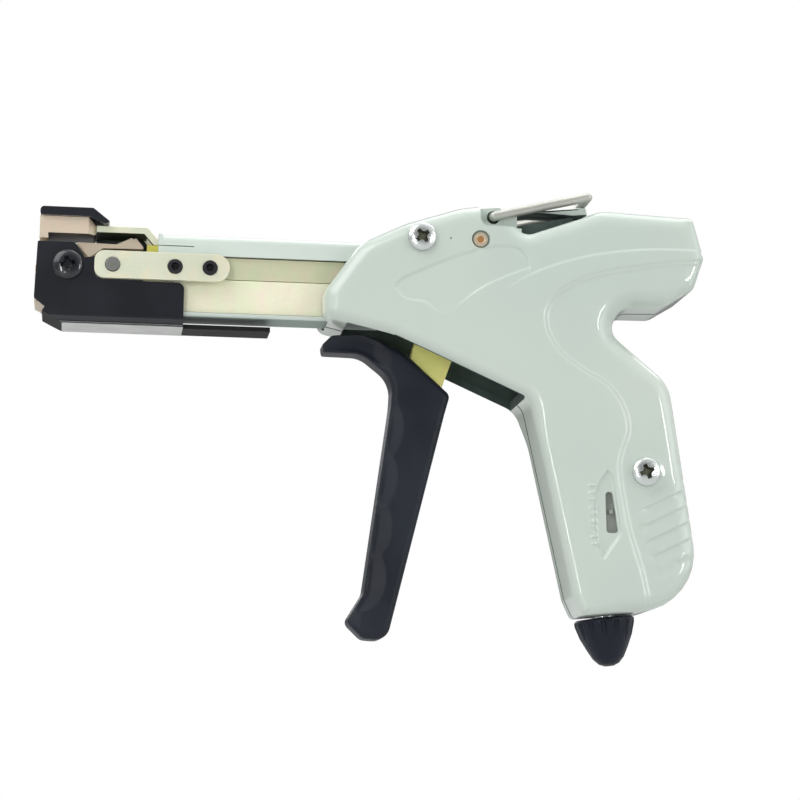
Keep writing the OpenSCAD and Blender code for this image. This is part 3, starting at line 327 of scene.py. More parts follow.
def cast_body(name, outline, near, far, rim, rows=(), row_steps=fine_steps, pitch=1.5):
    """Closed body through an outline; the heights of its two faces are functions of x and z.

    The faces get finer points along the rim and beside each of the rows.
    """
    outline = stations(outline, pitch, True)
    inward = normals(outline, True)
    n = len(outline)
    extra = []
    for d in rim:
        ring = outline + inward * d
        extra.append(ring[(away(ring, outline, True) > d * 0.985) & within(ring, outline)])
    kept = []
    for row in rows:
        side = normals(row, False)
        for step in row_steps:
            kept.append(row + side * step)
    if kept:
        kept = np.vstack(kept)
        kept = kept[within(kept, outline)]
        kept = kept[away(kept, outline, True) > 0.35]
        extra.append(kept)
    low, high = outline.min(axis=0), outline.max(axis=0)
    gx, gz = np.meshgrid(np.arange(low[0], high[0], pitch),
                         np.arange(low[1], high[1], pitch * 0.87))
    gx[1::2] += pitch / 2
    grid = np.stack([gx.ravel(), gz.ravel()], axis=1)
    grid = grid[within(grid, outline)]
    grid = grid[away(grid, outline, True) > rim[-1] + pitch * 0.5]
    for row in rows:
        grid = grid[away(grid, row) > max(row_steps) + pitch * 0.35]
    points = np.vstack([outline] + extra + [grid])
    flat, _, faces, origin, _, _ = geometry.delaunay_2d_cdt(
        [Vector(p) for p in points], [(i, (i + 1) % n) for i in range(n)], [], 1, 1e-4)
    flat = np.array([tuple(v) for v in flat])
    loop = [0] * n
    for i, sources in enumerate(origin):
        for s in sources:
            if s < n:
                loop[s] = i
    front, back = -near(flat), far(flat)
    work = bmesh.new()
    sheets = [[work.verts.new((x * MM, y * MM, z * MM)) for (x, z), y in zip(flat, ys)]
              for ys in (front, back)]
    for sheet in sheets:
        for face in faces:
            work.faces.new([sheet[i] for i in face])
    for i, j in zip(loop, loop[1:] + loop[:1]):
        work.faces.new([sheets[0][i], sheets[0][j], sheets[1][j], sheets[1][i]])
    bmesh.ops.recalc_face_normals(work, faces=work.faces)
    return solid(name, work)


def solid(name, work):
    mesh = bpy.data.meshes.new(name)
    work.to_mesh(mesh)
    work.free()
    piece = bpy.data.objects.new(name, mesh)
    bpy.context.scene.collection.objects.link(piece)
    return piece


def prism(outline, y0, y1, ending=None):
    """Body through an outline in x and z, from y0 to y1, in mm; it may end in another outline."""
    work = bmesh.new()
    rings = [[work.verts.new((x * MM, y * MM, z * MM)) for x, z in line]
             for line, y in ((outline, y0), (outline if ending is None else ending, y1))]
    for ring in rings:
        work.faces.new(ring)
    for i in range(len(outline)):
        j = (i + 1) % len(outline)
        work.faces.new([rings[0][i], rings[0][j], rings[1][j], rings[1][i]])
    bmesh.ops.recalc_face_normals(work, faces=work.faces)
    return solid("tool", work)


def block(low, high):
    return prism([(low[0], low[2]), (high[0], low[2]), (high[0], high[2]), (low[0], high[2])],
                 low[1], high[1])


def pin_y(spot, radius, y0, y1, sides=40):
    turn = np.arange(sides) * 2 * math.pi / sides
    ring = np.stack([spot[0] + radius * np.cos(turn), spot[1] + radius * np.sin(turn)], axis=1)
    return prism(ring, y0, y1)


def carve(piece, tools, operation="DIFFERENCE"):
    """Cuts the tools out of a piece, or joins them to it, and throws the tools away."""
    for tool in tools:
        cut = piece.modifiers.new("cut", "BOOLEAN")
        cut.solver, cut.operation, cut.object = "MANIFOLD", operation, tool
        graph = bpy.context.evaluated_depsgraph_get()
        mesh = bpy.data.meshes.new_from_object(piece.evaluated_get(graph))
        piece.modifiers.clear()
        piece.data = mesh
        bpy.data.objects.remove(tool)
    return piece


def soften(piece, width, crease=30, steps=3):
    """Breaks the edges of a tool or a piece."""
    deburr = piece.modifiers.new("deburr", "BEVEL")
    deburr.width, deburr.segments, deburr.limit_method = width * MM, steps, "ANGLE"
    deburr.angle_limit = math.radians(crease)
    return piece


def finish_piece(piece, coat, body, nodes, crease=35, inner=None, inner_coats=()):
    """Smooth shading with sharp creases, its finishes, and the place of the piece on the part."""
    piece.data.materials.clear()
    piece.data.materials.append(coat.material)
    for extra in inner_coats:
        piece.data.materials.append(extra.material)
    if inner:
        spots = np.array([tuple(face.center) for face in piece.data.polygons]) / MM
        ways = np.array([tuple(face.normal) for face in piece.data.polygons])
        for face, bare in zip(piece.data.polygons, inner(*spots.T, *ways.T)):
            face.material_index = int(bare)
    for face in piece.data.polygons:
        face.use_smooth = True
    piece.data.set_sharp_from_angle(angle=math.radians(crease))
    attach(piece, body)
    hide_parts(*nodes)


def enamel(name, pale, deep):
    """Stove enamel on a casting: faint drifts of shade, orange peel, and a clear glossy skin."""
    coat = Coat(name, {"IOR": 1.45, "Coat Weight": 0.85, "Coat IOR": 1.5})
    cloud = coat.mottle(0.045, 1, low=0.25, high=0.75)
    peel = coat.mottle(0.0021, 1, low=0.2, high=0.8)
    coat.feed({"Base Color": coat.blend(cloud, pale, deep),
               "Roughness": 0.34 + 0.06 * cloud,
               "Coat Roughness": 0.07,
               "Normal": coat.relief(peel, 0.000012, 0.25)})
    return coat


sage = enamel("sage enamel", colour(190, 200, 191), colour(183, 196, 187))
# Dark teal painted shade for the faces deep inside the casing and the barrel, in the trigger mouth
# and under the roof ridge; on the halves' seam faces it also draws the dark joint line.
inner_shade_and_seam = Coat("painted inner shade and seam line", {"Roughness": 0.7})
inner_shade_and_seam.feed({"Base Color": inner_shade_and_seam.blend(inner_shade_and_seam.mottle(0.004), colour(52, 68, 64),
                                        colour(64, 80, 75))})


def body_at(share):
    return (barrel_out + share[0] * body_len, body_top - share[1] * body_h)


casing_corners = [body_at(s) + (s[2] * body_h,) for s in (
    (0.000, 0.231, 0.045), (0.091, 0.110, 0.126), (0.208, 0.057, 0.225), (0.358, 0.011, 0.270),
    (0.463, 0.001, 0.009), (0.520, 0.075, 0.032), (0.727, 0.005, 0.090), (0.970, 0.014, 0.020),
    (1.000, 0.117, 0.022), (0.973, 0.193, 0.022), (0.898, 0.236, 0.036), (0.790, 0.239, 0.045),
    (0.749, 0.299, 0.038), (0.908, 0.429, 0.099), (0.997, 0.967, 0.143), (0.676, 0.996, 0.014),
    (0.653, 0.950, 0.027), (0.538, 0.478, 0.052), (0.183, 0.333, 0.225), (0.001, 0.295, 0.027))]
casing_line = rounded(casing_corners, 8)
pivot, bail_pivot = body_at((0.4035, 0.093)), body_at((0.445, 0.0262))
screw_spots = [body_at((0.249, 0.094)), body_at((0.840, 0.649))]
leaf_top = flow([(94.4, -10.9), (95.6, -9.3), (97.5, -8.1), (106.9, -3.6), (116.6, 0), (123.6, 1.2),
                 (127.7, 0.5), (129.9, -2.0), (130.4, -4.2)])
leaf_low = flow([(130.4, -4.2), (123.7, -7.1), (118, -10), (113.2, -13.7), (109.5, -17.2),
                 (107.6, -17.9), (104.3, -16.2), (102.4, -14.7), (97.6, -14.1), (95.1, -12.2),
                 (94.4, -10.9)])
leaf = np.vstack([leaf_top, leaf_low[1:-1]])
shoulder = flow([(96, -26), (110, -17.5), (122.4, -11.2), (131.3, -5.9), (140.3, -2.3),
                 (150.1, 0.3), (162.7, 1.9), (175.2, 2.2), (186, 2.2)])
panel = flow([(186, -0.6), (176, -1.1), (169.6, -1.7), (160.5, -3.1), (150.1, -5.2), (143, -7.9),
              (138.1, -11.4), (135.4, -15.6), (135.2, -19.2), (136.3, -22.7), (139.5, -27.2),
              (145.8, -31.8), (150.7, -34.4), (154.8, -38.6), (157.2, -44), (157.4, -48.7),
              (155.9, -52.8), (155.1, -57.5), (156, -64.6), (156.9, -69.7), (158, -74.7),
              (159.9, -80.8), (161.8, -87.4), (164, -99)])
dish = flow([(151.9, -58.2), (150, -61.3), (148.5, -65.5), (148.3, -72), (149.2, -79),
             (150.6, -82.4), (151.9, -80.8), (153.2, -78.8), (155.3, -75.8), (155.3, -73.5),
             (154.3, -66), (153.4, -60.5), (151.9, -58.2)])[:-1]
above_shoulder = np.vstack([shoulder, [(186, 40), (96, 40)]])
behind_panel = np.vstack([panel, [(200, -99), (200, -0.6)]])
groove_start, groove_end, groove_pitch = (161, -68.4), (174.6, -60.9), 4.6
groove_slope, groove_lean, groove_depth = 0.551, 0.07, 0.4
ribs = [np.array([(groove_start[0] + 1.07 * k, groove_start[1] - groove_pitch * k),
                  (groove_end[0] + 0.7 * k, groove_end[1] - groove_pitch * k)]) for k in range(4)]
window = rounded([body_at(s) + (0.9,) for s in (
    (0.7345, 0.699), (0.7530, 0.698), (0.7695, 0.797), (0.7380, 0.798))], 6)

# Radii of the side faces' fillets: everywhere, more at the thumb rest, less at the tail, and the
# change along the front of the grip, which is much larger on the far half.
edge_round, thumb_round, tail_round, near_front, far_front = 4.2, 2.4, 1.2, -1.4, 8.3
thumb_spot, thumb_reach = (157, -18), 11
# Depths of the relief, and the ridges of the setting's scale.
leaf_depth, leaf_line_depth, leaf_line_width = 0.36, 0.3, 0.42
shoulder_depth, panel_step, dish_depth = 0.4, 0.28, 0.8
tick_count, tick_start, tick_lean, tick_pitch = 9, (147.6, -62.6), 0.1, 1.95
tick_half, tick_height = (0.8, 0.3), 0.35
screw_flat = (3.7, 5.2)


def casing_face(points, windowed):
    """Height of a casing half's side face above the seam plane."""
    x, z = points.T
    edge = away(points, casing_line, True)
    thumb = np.exp(-((x - thumb_spot[0]) ** 2 + (z - thumb_spot[1]) ** 2) / (2 * thumb_reach ** 2))
    tail = ease(x, 172, 177) * ease(z, -12, -6)
    front = ease(-z, 38, 52) * ease(-(x + 0.23 * z), -134, -128)
    radius = edge_round + thumb_round * thumb - tail_round * tail
    radius = radius + (near_front if windowed else far_front) * front
    fade = 1 - ease(-(z + 12.5) + 0.35 * (x - 106), 1.5, 7) * (x < 116)
    sunk = leaf_depth * ease(depth_in(points, leaf), -0.4, 0.4) * fade
    sunk += leaf_line_depth * np.exp(-(away(points, leaf_top) / leaf_line_width) ** 2) * fade
    sunk += shoulder_depth * ease(depth_in(points, above_shoulder), -0.45, 0.45) * ease(x, 119, 136)
    step = depth_in(points, behind_panel)
    sunk += panel_step * (ease(step, -0.85, -0.35) + ease(step, 0.35, 0.85))
    if windowed:
        sunk += dish_depth * ease(depth_in(points, dish), -0.35, 0.55)
        for k in range(tick_count):
            tick = np.maximum(abs(x - tick_start[0] - tick_lean * k) / tick_half[0],
                              abs(z - tick_start[1] + tick_pitch * k) / tick_half[1])
            sunk -= tick_height * (1 - ease(tick, 0.7, 1.4))
    over = x - groove_start[0]
    saw = (z - groove_slope * over - groove_start[1]) / -groove_pitch
    saw = (saw - groove_lean * over / groove_pitch) % 1
    zone = ease(x, 160.5, 163) * ease(-z, 58, 63) * (1 - ease(-z - 0.1 * (x - 160), 83, 88))
    sunk += groove_depth * zone * np.where(saw < 0.12, ease(saw, 0, 0.12), 1 - ease(saw, 0.12, 1))
    for spot in screw_spots:
        sunk *= ease(np.hypot(x - spot[0], z - spot[1]), *screw_flat)
    return body_half + fillet(edge, radius) - sunk * ease(edge, 0.2, 2.5)


def casing_seam(points):
    """The seam face, with the small chamfer that shows as a line between the halves."""
    return -seam - np.clip(0.4 - away(points, casing_line, True), 0, 0.4)


ridge_line = [(barrel_out + a * body_len, body_top - b * 2) for a, b in (
    (0.40, 0.75), (0.46, -0.05), (0.585, -0.30), (0.682, -1.0), (0.700, -0.98), (0.705, 0.1),
    (0.664, 0.3), (0.60, 0.12), (0.55, 0.12), (0.50, 0.55), (0.44, 0.8))]
web_line = [body_at(s) for s in ((0.49, 0.12), (0.493, 0.040), (0.513, 0.036), (0.587, 0.021),
                                 (0.665, 0.004), (0.69, 0.06))]
slot_line = [body_at(s) for s in ((0.508, -0.05), (0.68, -0.05), (0.68, 0.09), (0.508, 0.16))]
mouth = [body_at(s) for s in ((0.06, 0.27), (0.20, 0.27), (0.526, 0.44), (0.526, 0.62),
                              (0.06, 0.62))]
ear_line = [(114.7, 11), (119, 11.9), (123, 12.4), (128.6, 12.5), (128.6, 4.3), (114.7, 4.3)]
ear_floor = 10.5 - 1.25 - 0.3
ridge_half, web_half, mouth_half, barrel_half = 4.5, 3.2, 12.2, 6.46


def casing_shade_and_seam_faces(x, y, z, nx, ny, nz):
    """True for the faces inside a half, in the trigger mouth and under the roof ridge, which get
    the painted shade, and for the seam faces, where the same dark coat draws the joint line.
    """
    spots = np.stack([x, z], axis=1)
    ridge = (abs(y) < 4.52) & (x > 119) & (x < 148) & (nz < -0.3) & (z > 8)
    ridge |= (abs(y) < 3.3) & (x > 125) & (x < 148) & (z > -2) & (z < 13) & (abs(ny) > 0.5)
    in_mouth = within(spots, np.array(mouth)) & (abs(y) < 12.7) & (nz > -0.9)
    pocket = (x > 116.5) & (x < 129.5) & (abs(y) > 8.8) & (z > 6.4)
    deep = (depth_in(spots, casing_line) > 2.25) & (abs(y) < 12.7) & (y * ny < 2.6)
    return (deep | ridge | in_mouth | (abs(y) < 0.42)) & ~pocket


def casing_half(name, side):
    """side is -1 for the near half, 1 for the far half."""
    def at(y0, y1):
        return (-y1, -y0) if side < 0 else (y0, y1)

    def face(points):
        return casing_face(points, side < 0)

    rows = [leaf_top, leaf_low, shoulder, panel]
    rim = (0.1, 0.4, 0.9, 1.6, 2.5, 3.5, 4.6)
    if side < 0:
        rows += [np.vstack([dish, dish[:1]])]
        rows += [flow([(147.2, -61), (148.3, -80)], 0.3)]
    rows += [stations(r, 0.9) for r in ribs]
    half = cast_body(name, casing_line, face if side < 0 else casing_seam,
                     casing_seam if side < 0 else face, rim, rows)
    hollow = prism(rounded(inset(casing_corners, wall), 6), *at(-1, body_half - wall))
    if side > 0:
        carve(hollow, [block((60, 8.5, -120), (200, 14, -42))])
    carve(half, [hollow])
    ear = prism(ear_line, *at(7.15, 12.7))
    carve(half, [soften(prism(ridge_line, *at(seam, ridge_half)), 0.5),
                 prism(web_line, *at(seam, web_half)), ear], "UNION")
    pocket_end, pocket_foot = bail_pivot[0] + 7.4, bail_pivot[1] - 3.6
    pocket = rounded([(bail_pivot[0] - 4.4, pocket_foot, 2.2), (bail_pivot[0] - 4.2, 20, 0.5),
                      (pocket_end, 20, 0.5), (pocket_end, pocket_foot, 0.3)], 6)
    channel = at(-1, barrel_half)
    cuts = [prism(mouth, *at(-1, mouth_half)),
            block((barrel_out - 1, channel[0], -19.7), (barrel_out + 16, channel[1], 3)),
            prism(slot_line, *at(ridge_half, body_half - wall)),
            soften(prism(pocket, *at(ear_floor, 20)), 0.6, 60),
            pin_y(bail_pivot, 1.8, *at(7.0, 20)),
            soften(pin_y(pivot, 2.45, *at(body_half - 1.4, 20)), 0.1, 60),
            pin_y(pivot, 2.06, *at(5, 20))]
    if side < 0:
        cuts += [prism(window, *at(11.6, 20)),
                 pin_y((109.1, 2.8), 0.28, *at(body_half - 0.6, 20), 12)]
        cuts += [pin_y(spot, 2.05, *at(5, 20)) for spot in screw_spots]
    carve(half, cuts)
    finish_piece(half, sage, "frame", ["near_shell" if side < 0 else "far_shell"],
                 42, casing_shade_and_seam_faces, (inner_shade_and_seam,))


casing_half("casing_near", -1)
casing_half("casing_far", 1)


# Casing screws
# Two bright plated pan head screws with a cross recess hold the halves together.
def machined(node, coat, body, edge=0.15, crease=30, name=None, inner=None, inner_coats=(),
             cuts=(), split=None, nudge=None, grown=()):
    """A node's own solid with its flats made whole and its edges broken, as a deburred part has.

    Its faces are split at x = split where the finish changes; nudge gives a vertex's shift in x.
    """
    work = bmesh.new()
    work.from_mesh(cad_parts[node].data)
    bmesh.ops.remove_doubles(work, verts=work.verts, dist=1e-6)
    bmesh.ops.dissolve_limit(work, angle_limit=math.radians(0.4), verts=work.verts,
                             edges=work.edges)
    if split:
        bmesh.ops.bisect_plane(work, geom=work.verts[:] + work.edges[:] + work.faces[:], dist=1e-7,
                               plane_co=(split * MM, 0, 0), plane_no=(1, 0, 0))
    if nudge:
        for vert in work.verts:
            vert.co.x += nudge(vert.co.x / MM) * MM
    piece = carve(carve(solid(name or node + "_finished", work), cuts), grown, "UNION")
    finish_piece(piece, coat, body, [node], crease, inner, inner_coats)
    if edge:
        soften(piece, edge, crease, 2).modifiers[0].harden_normals = True
        even = piece.modifiers.new("flats", "WEIGHTED_NORMAL")
        even.keep_sharp = True
    return piece


def turned(profile, spot, steps=72):
    """Turned body along y; the profile holds radius and y pairs from one end to the other."""
    work = bmesh.new()
    rings = []
    for radius, y in profile:
        count = 1 if radius == 0 else steps
        rings.append([work.verts.new(((spot[0] + radius * math.cos(k * 2 * math.pi / steps)) * MM,
                                      y * MM,
                                      (spot[1] + radius * math.sin(k * 2 * math.pi / steps)) * MM))
                      for k in range(count)])
    for a, b in zip(rings, rings[1:]):
        for k in range(steps):
            quad = [a[k % len(a)], a[(k + 1) % len(a)], b[(k + 1) % len(b)], b[k % len(b)]]
            work.faces.new(list(dict.fromkeys(quad)))
    bmesh.ops.recalc_face_normals(work, faces=work.faces)
    return solid("turned", work)


def pan_screw(spot, radius, seat, height, shank, tip, lean):
    """Pan head screw along y with a tapered cross recess; seat is the y of the head's underside."""
    dome = [(radius * math.sin(a), seat - height * (0.42 + 0.58 * math.cos(a)))
            for a in np.linspace(0, math.pi / 2, 12)]
    screw = turned(dome + [(radius, seat - 0.12 * height), (radius - 0.1, seat), (shank, seat),
                           (shank, tip - 0.5), (shank - 0.5, tip), (0, tip)], spot)

    def cross(arm, half, web):
        line = [(arm, -half), (arm, half), (half + web, half), (half, half + web)]
        line = [(x * c - z * n, x * n + z * c) for k in range(4)
                for c, n in [(round(math.cos(k * math.pi / 2)), round(math.sin(k * math.pi / 2)))]
                for x, z in line]
        turn = math.radians(lean)
        return [(spot[0] + x * math.cos(turn) - z * math.sin(turn),
                 spot[1] + x * math.sin(turn) + z * math.cos(turn)) for x, z in line]

    top = seat - height
    return carve(screw, [prism(cross(radius * 0.62, radius * 0.17, radius * 0.16),
                               top - 0.4, top + height * 0.72,
                               cross(radius * 0.3, radius * 0.1, radius * 0.05))])


def join(name, pieces):
    """One object from several."""
    work = bmesh.new()
    for piece in pieces:
        work.from_mesh(piece.data)
        bpy.data.objects.remove(piece)
    return solid(name, work)


def bright_steel(name, tint, rough=0.22, grain=0.0006, stretch=(1, 1, 1), metal=0.85):
    """Bare or plated steel: a fine lay from turning or drawing, and faint handling marks."""
    coat = Coat(name, {"Metallic": metal})
    lay = coat.mottle(grain, 2, stretch, 0.3, 0.7)
    cloud = coat.mottle(0.006)
    coat.feed({"Base Color": coat.blend(cloud, tint, tuple(c * 0.88 for c in tint[:3]) + (1,)),
               "Roughness": rough + 0.12 * cloud * lay,
               "Normal": coat.relief(lay, 0.00001, 0.4)})
    return coat


screw_plate = bright_steel("bright zinc", colour(206, 212, 210), 0.2)
recess_shade = bright_steel("recess", colour(104, 108, 92), 0.45)
screw_head_r, screw_head_h, screw_shank_r, screw_tip = 3.85, 2.08, 1.9, 9
casing_screws = join("casing_screws", [pan_screw(spot, screw_head_r, -body_half, screw_head_h,
                                                 screw_shank_r, screw_tip, lean)
                                       for spot, lean in zip(screw_spots, (38, 22))])
finish_piece(casing_screws, screw_plate, "frame", ["shell_screws"], 40,
             lambda x, y, z, nx, ny, nz: (abs(y + 16.1) < 0.75) & (np.minimum(
                 *[np.hypot(x - a, z - b) for a, b in screw_spots]) < 2.2), (recess_shade,))

# Barrel
# One bent steel sheet, enamelled with the casing; the bars slide in it and its near side is open.
barrel_coat = enamel("barrel enamel", colour(206, 217, 209), colour(198, 209, 201))
# Painted shade: the barrel's inner faces take the dark inner shade, and its underside a darker
# grey-green.
barrel_under_shade = Coat("barrel underside painted shade", {"Roughness": 0.5, "IOR": 1.3})
barrel_under_shade.feed({"Base Color": barrel_under_shade.blend(barrel_under_shade.mottle(0.02),
                                                    colour(140, 154, 147), colour(128, 143, 136))})
lip_slit = block((31.2, -7, -0.6), (41, -5, -0.35))
machined("barrel_channel", barrel_coat, "frame", 0.12, 30, "barrel_sheet",
         lambda x, y, z, nx, ny, nz: np.where((abs(y) < 5.36) & (-18.4 < z) & (z < 4.5)
                                              & (abs(nx) < 0.5) & ((nz < 0.5) | (z < 1.7)), 1,
                                              np.where((nz < -0.9) & (z < -18.5), 2, 0)),
         (inner_shade_and_seam, barrel_under_shade), [lip_slit], nudge=lambda x: -0.28 if x < 15.4 else 0)


# Plated bars and plates
# Ground steel with a yellow chromate film, which drifts between straw, pale green and rose.
def chromate(name, straw, leafy, rose, metal=0.45, grain=(0.3, 1, 1)):
    coat = Coat(name, {"Metallic": metal, "IOR": 1.6})
    drift = coat.mottle(0.009, 2, low=0.3, high=0.7)
    spots = coat.mottle(0.0045, 3, (1, 1, 0.5), 0.42, 0.75)
    lay = coat.mottle(0.00045, 2, grain, 0.3, 0.7)
    film = coat.blend(drift, straw, leafy)
    film = coat.blend(spots * 0.8, film, rose)
    coat.feed({"Base Color": coat.blend(lay * 0.06, film, colour(150, 148, 120)),
               "Roughness": 0.34 + 0.06 * lay + 0.1 * spots,
               "Normal": coat.relief(lay, 0.00002, 0.4)})
    return coat


rail_film = chromate("rail chromate", colour(212, 214, 178), colour(204, 212, 176),
                     colour(216, 200, 178), 0.4)
bar_film = chromate("bar chromate", colour(240, 240, 212), colour(234, 240, 204),
                    colour(240, 226, 208), 0.25)
link_film = chromate("link chromate", colour(226, 228, 206), colour(218, 224, 200),
                     colour(232, 220, 190))
tab_film = chromate("tab chromate", colour(228, 222, 92), colour(196, 190, 80),
                    colour(206, 196, 96))
machined("guide_rail", rail_film, "frame",
         inner=lambda x, y, z, nx, ny, nz: (x < 36) & (ny < -0.5), inner_coats=(tab_film,),
         split=36)
machined("cut_off_bar", bar_film, "cut_off_bar")
machined("pull_bar", rail_film, "pull_bar")
# Painted shade: the anvil plate's down-facing faces are coloured dark olive.
anvil_under_shade = Coat("anvil underside painted shade", {"Base Color": colour(52, 56, 46), "Roughness": 0.5})
machined("anvil_plate", link_film, "frame",
         inner=lambda x, y, z, nx, ny, nz: nz < -0.6, inner_coats=(anvil_under_shade,))
machined("side_links", link_film, "frame", 0.2)


# Nose
# A hardened block with the strap's slit, under a bent cap of black sheet.
tan = chromate("nose steel", colour(210, 196, 172), colour(204, 196, 174), colour(216, 190, 172))
# Painted shade: the block's down-facing faces above the slit and its faces turned to the rear near
# the front are dark brown.
shade = Coat("painted recess shade", {"Base Color": colour(52, 38, 33), "Roughness": 0.5})
machined("nose_block", tan, "frame", 0.25, 30, "nose_anvil",
         lambda x, y, z, nx, ny, nz: (nz < -0.7) & (x > 2.4) & (z > 0) | (nx > 0.8) & (x < 3),
         (shade,))


def blacking(name, base, lift, rough, skin=0.0):
    """Blacked or black-lacquered steel: a deep blue-black with a soft sheen and faint dust."""
    coat = Coat(name, {"IOR": 1.3, "Coat Weight": skin, "Coat Roughness": 0.06})
    cloud = coat.mottle(0.014, 2)
    dust = coat.mottle(0.0011, 2, low=0.55, high=0.8)
    coat.feed({"Base Color": coat.blend(cloud * 0.6 + dust * 0.06, base, lift),
               "Roughness": rough + 0.06 * cloud,
               "Normal": coat.relief(dust, 0.00001, 0.25)})
    return coat


black_sheet = blacking("black lacquer", colour(18, 20, 27), colour(26, 29, 37), 0.3, 0.9)
machined("nose_cap", black_sheet, "frame", 0.45)

# Cutter head
# A U of black lacquered sheet that swings on the link pins and carries the blade in its block.
worn_black = blacking("worn black", colour(8, 9, 12), colour(13, 14, 18), 0.6)
# Painted reflection: the flat underside of the head is a light grey steel that stands for the white
# floor seen in the black sheet.
head_under_reflection = bright_steel("head underside painted reflection", colour(196, 198, 196), 0.42, 0.0008, (0.2, 1, 1), 0.3)
machined("cutter_head", black_sheet, "cutter_head", 0.25,
         inner=lambda x, y, z, nx, ny, nz: np.where((x > 38.7) | (x < 6.9) & (nz < -0.3), 1,
                                                    np.where((nz < -0.9) & (z < -20.5), 2, 0)),
         inner_coats=(worn_black, head_under_reflection), split=38.6)
machined("cutter_block", tan, "cutter_head", 0.2)
machined("cutter_blade", screw_plate, "cutter_head", 0.05)
blade_screw = join("blade_screw_finished", [pan_screw((7.7, -7), 3.95, -7.8, 1.88, 2.0, 10.1, 12)])
finish_piece(blade_screw, black_sheet, "cutter_head", ["blade_screw"], 40)
machined("blade_nut", black_sheet, "cutter_head", 0.3)
machined("push_pin", screw_plate, "cutter_head", 0)
rivet_black = blacking("rivet black", colour(34, 34, 38), colour(52, 50, 54), 0.35)
machined("link_rivets", rivet_black, "frame", 0.15)
machined("cutter_pivot_pins", rivet_black, "frame", 0.3,
         inner=lambda x, y, z, nx, ny, nz: abs(ny) > 0.9,
         inner_coats=(bright_steel("pin end", colour(128, 130, 126), 0.4),))

# Pawl
# A toothed jaw on the pull bar's tongue; its leaf spring presses it on the strap.
machined("gripping_pawl", tan, "pawl", 0.08, nudge=lambda x: -0.95 if x < 12.4 else 0)
machined("pawl_pin", tan, "pull_bar", 0)
spring_steel = bright_steel("spring steel", colour(170, 172, 172), 0.3)
machined("pawl_spring", spring_steel, "pull_bar", 0)

# Trigger
# A thick plated steel lever with a moulded black grip pushed over it.
lever_film = chromate("lever chromate", colour(250, 248, 150), colour(244, 248, 140),
                      colour(252, 232, 150), 0.05)
machined("trigger_lever", lever_film, "trigger", 0.3)
sleeve_w, sleeve_h, sleeve_half = 34.8, 82.4, 5.0
sleeve_left, sleeve_top = pivot[0] - 6.3 - sleeve_w, pivot[1] - 24.8
sleeve_corners = [(sleeve_left + a * sleeve_w, sleeve_top - b * sleeve_h, c * sleeve_h)
                  for a, b, c in (
    (0.009, 0.067, 0.010), (0.000, 0.041, 0.010), (0.072, 0.010, 0.022), (0.305, 0.000, 0.100),
    (0.620, 0.052, 0.140), (1.000, 0.195, 0.024), (0.957, 0.261, 0.070), (0.534, 1.000, 0.050),
    (0.348, 0.995, 0.034), (0.216, 0.942, 0.024), (0.348, 0.850, 0.045), (0.537, 0.243, 0.300),
    (0.549, 0.149, 0.095), (0.305, 0.069, 0.090))]
sleeve_line = rounded(sleeve_corners, 8)
finger_edge = np.array([(93.6, -40.0), (88.0, -94.0)])
finger_spots = [8, 21.5, 35, 48.5]
finger_reach, finger_span, finger_bow, sleeve_round = 5.6, 8.6, 1.35, 1.7
finger_way = (finger_edge[1] - finger_edge[0]) / np.linalg.norm(finger_edge[1] - finger_edge[0])
finger_out = np.array((-finger_way[1], finger_way[0]))


def sleeve_face(points):
    """Height of the grip's side face: round edges, and four finger hollows along the front."""
    edge = away(points, sleeve_line, True)
    along = (points - finger_edge[0]) @ finger_way
    over = (points - finger_edge[0]) @ finger_out
    hollow = np.zeros(len(points))
    for middle in finger_spots:
        reach = finger_reach * np.sqrt(np.maximum(1 - ((along - middle) / finger_span) ** 2, 0))
        hollow = np.maximum(hollow, np.clip(reach - over, 0, 5) * 0.26)
    return sleeve_half + fillet(edge, sleeve_round) - hollow * ease(edge, 0, 1.5)


grip_black = blacking("grip plastic", colour(25, 29, 37), colour(35, 40, 49), 0.42)
arcs = [np.array([finger_edge[0] + finger_way * (middle + finger_span * math.sin(a))
                  + finger_out * finger_reach * math.cos(a)
                  for a in np.linspace(-finger_bow, finger_bow, 24)]) for middle in finger_spots]
sleeve = cast_body("trigger_grip", sleeve_line, sleeve_face, sleeve_face,
                   (0.05, 0.18, 0.4, 0.75, 1.2, 1.75), arcs, (-0.4, 0, 0.4), 1.1)
lever_slot = [(-5.9, 0), (-3.6, -30), (-6.2, -45), (-17, -88), (-26, -88), (-24.5, -70),
              (-20.3, -45), (-17.2, -30)]
carve(sleeve, [prism([(pivot[0] + x, pivot[1] + z) for x, z in lever_slot], -2.15, 2.15)])
finish_piece(sleeve, grip_black, "trigger", ["trigger_sleeve"], 38)

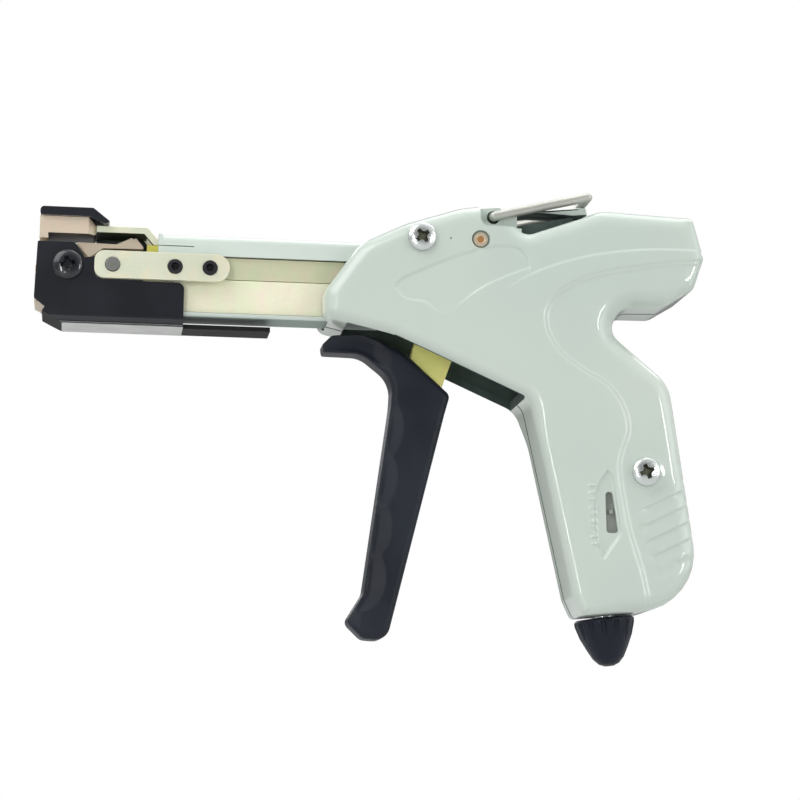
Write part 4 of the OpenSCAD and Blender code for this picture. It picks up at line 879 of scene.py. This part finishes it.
for node in ("sleeve_pin", "drive_pin", "drive_rollers"):
    machined(node, screw_plate, "trigger", 0)
brass = bright_steel("brass", colour(214, 184, 132), 0.26)
pin_ring = bright_steel("pin ring", colour(238, 226, 202), 0.3)
pin_heart = bright_steel("pin heart", colour(226, 168, 112), 0.3)
pin_end = body_half - 0.3
pin_line = [(0, pin_end - 0.22), (0.95, pin_end - 0.22), (1.15, pin_end), (1.8, pin_end),
            (2, pin_end - 0.2)]
pivot_pin = turned([(a, -b) for a, b in pin_line] + pin_line[::-1], pivot)
pivot_pin.name = "trigger_pivot_pin_finished"
finish_piece(pivot_pin, brass, "frame", ["trigger_pivot_pin"], 30,
             lambda x, y, z, nx, ny, nz: np.where(abs(y) < pin_end - 0.21,
                                                  np.where(abs(ny) > 0.9, 2, 0), 1),
             (pin_ring, pin_heart))
machined("pivot_bushes", screw_plate, "frame", 0)
machined("trigger_spring", spring_steel, "frame", 0)

# Trip rocker and its spring
# Ground steel pieces inside the casing, seen only through the trigger's opening.
machined("trip_rocker", rail_film, "trip_rocker", 0.2)
machined("rocker_pin", screw_plate, "frame", 0)
machined("spring_cap", screw_plate, "spring_cap", 0)
machined("main_spring", spring_steel, "frame", 0)

# Tension setting
# A moulded knob turns the threaded rod, which moves the square nut up and down the grip.
knob_black = blacking("knob plastic", colour(21, 26, 37), colour(30, 36, 48), 0.38)
machined("tension_knob", knob_black, "tension_knob", 0.1, 40)
machined("tension_rod", screw_plate, "tension_knob", 0)
machined("rod_clip", rivet_black, "tension_knob", 0)
machined("thrust_washer", brass, "frame", 0)
# The nut carries a plate that fills the window over the whole of its travel.
nut_plate = prism([(149.6, -57), (155.4, -57), (157.6, -82), (151.4, -82)], -12.35, -11.5)
machined("seat_nut", bright_steel("nut steel", colour(150, 155, 148), 0.45, metal=0.2), "seat_nut",
         0.15, grown=[nut_plate])

# Carrying bail
# Bent steel wire, its ends turned in to the casing's ears, lying on the roof ridge.
bail_wire = bright_steel("bail wire", colour(186, 187, 179), 0.38, 0.003, metal=0.6)
machined("carry_bail", bail_wire, "carry_bail", 0, 70)
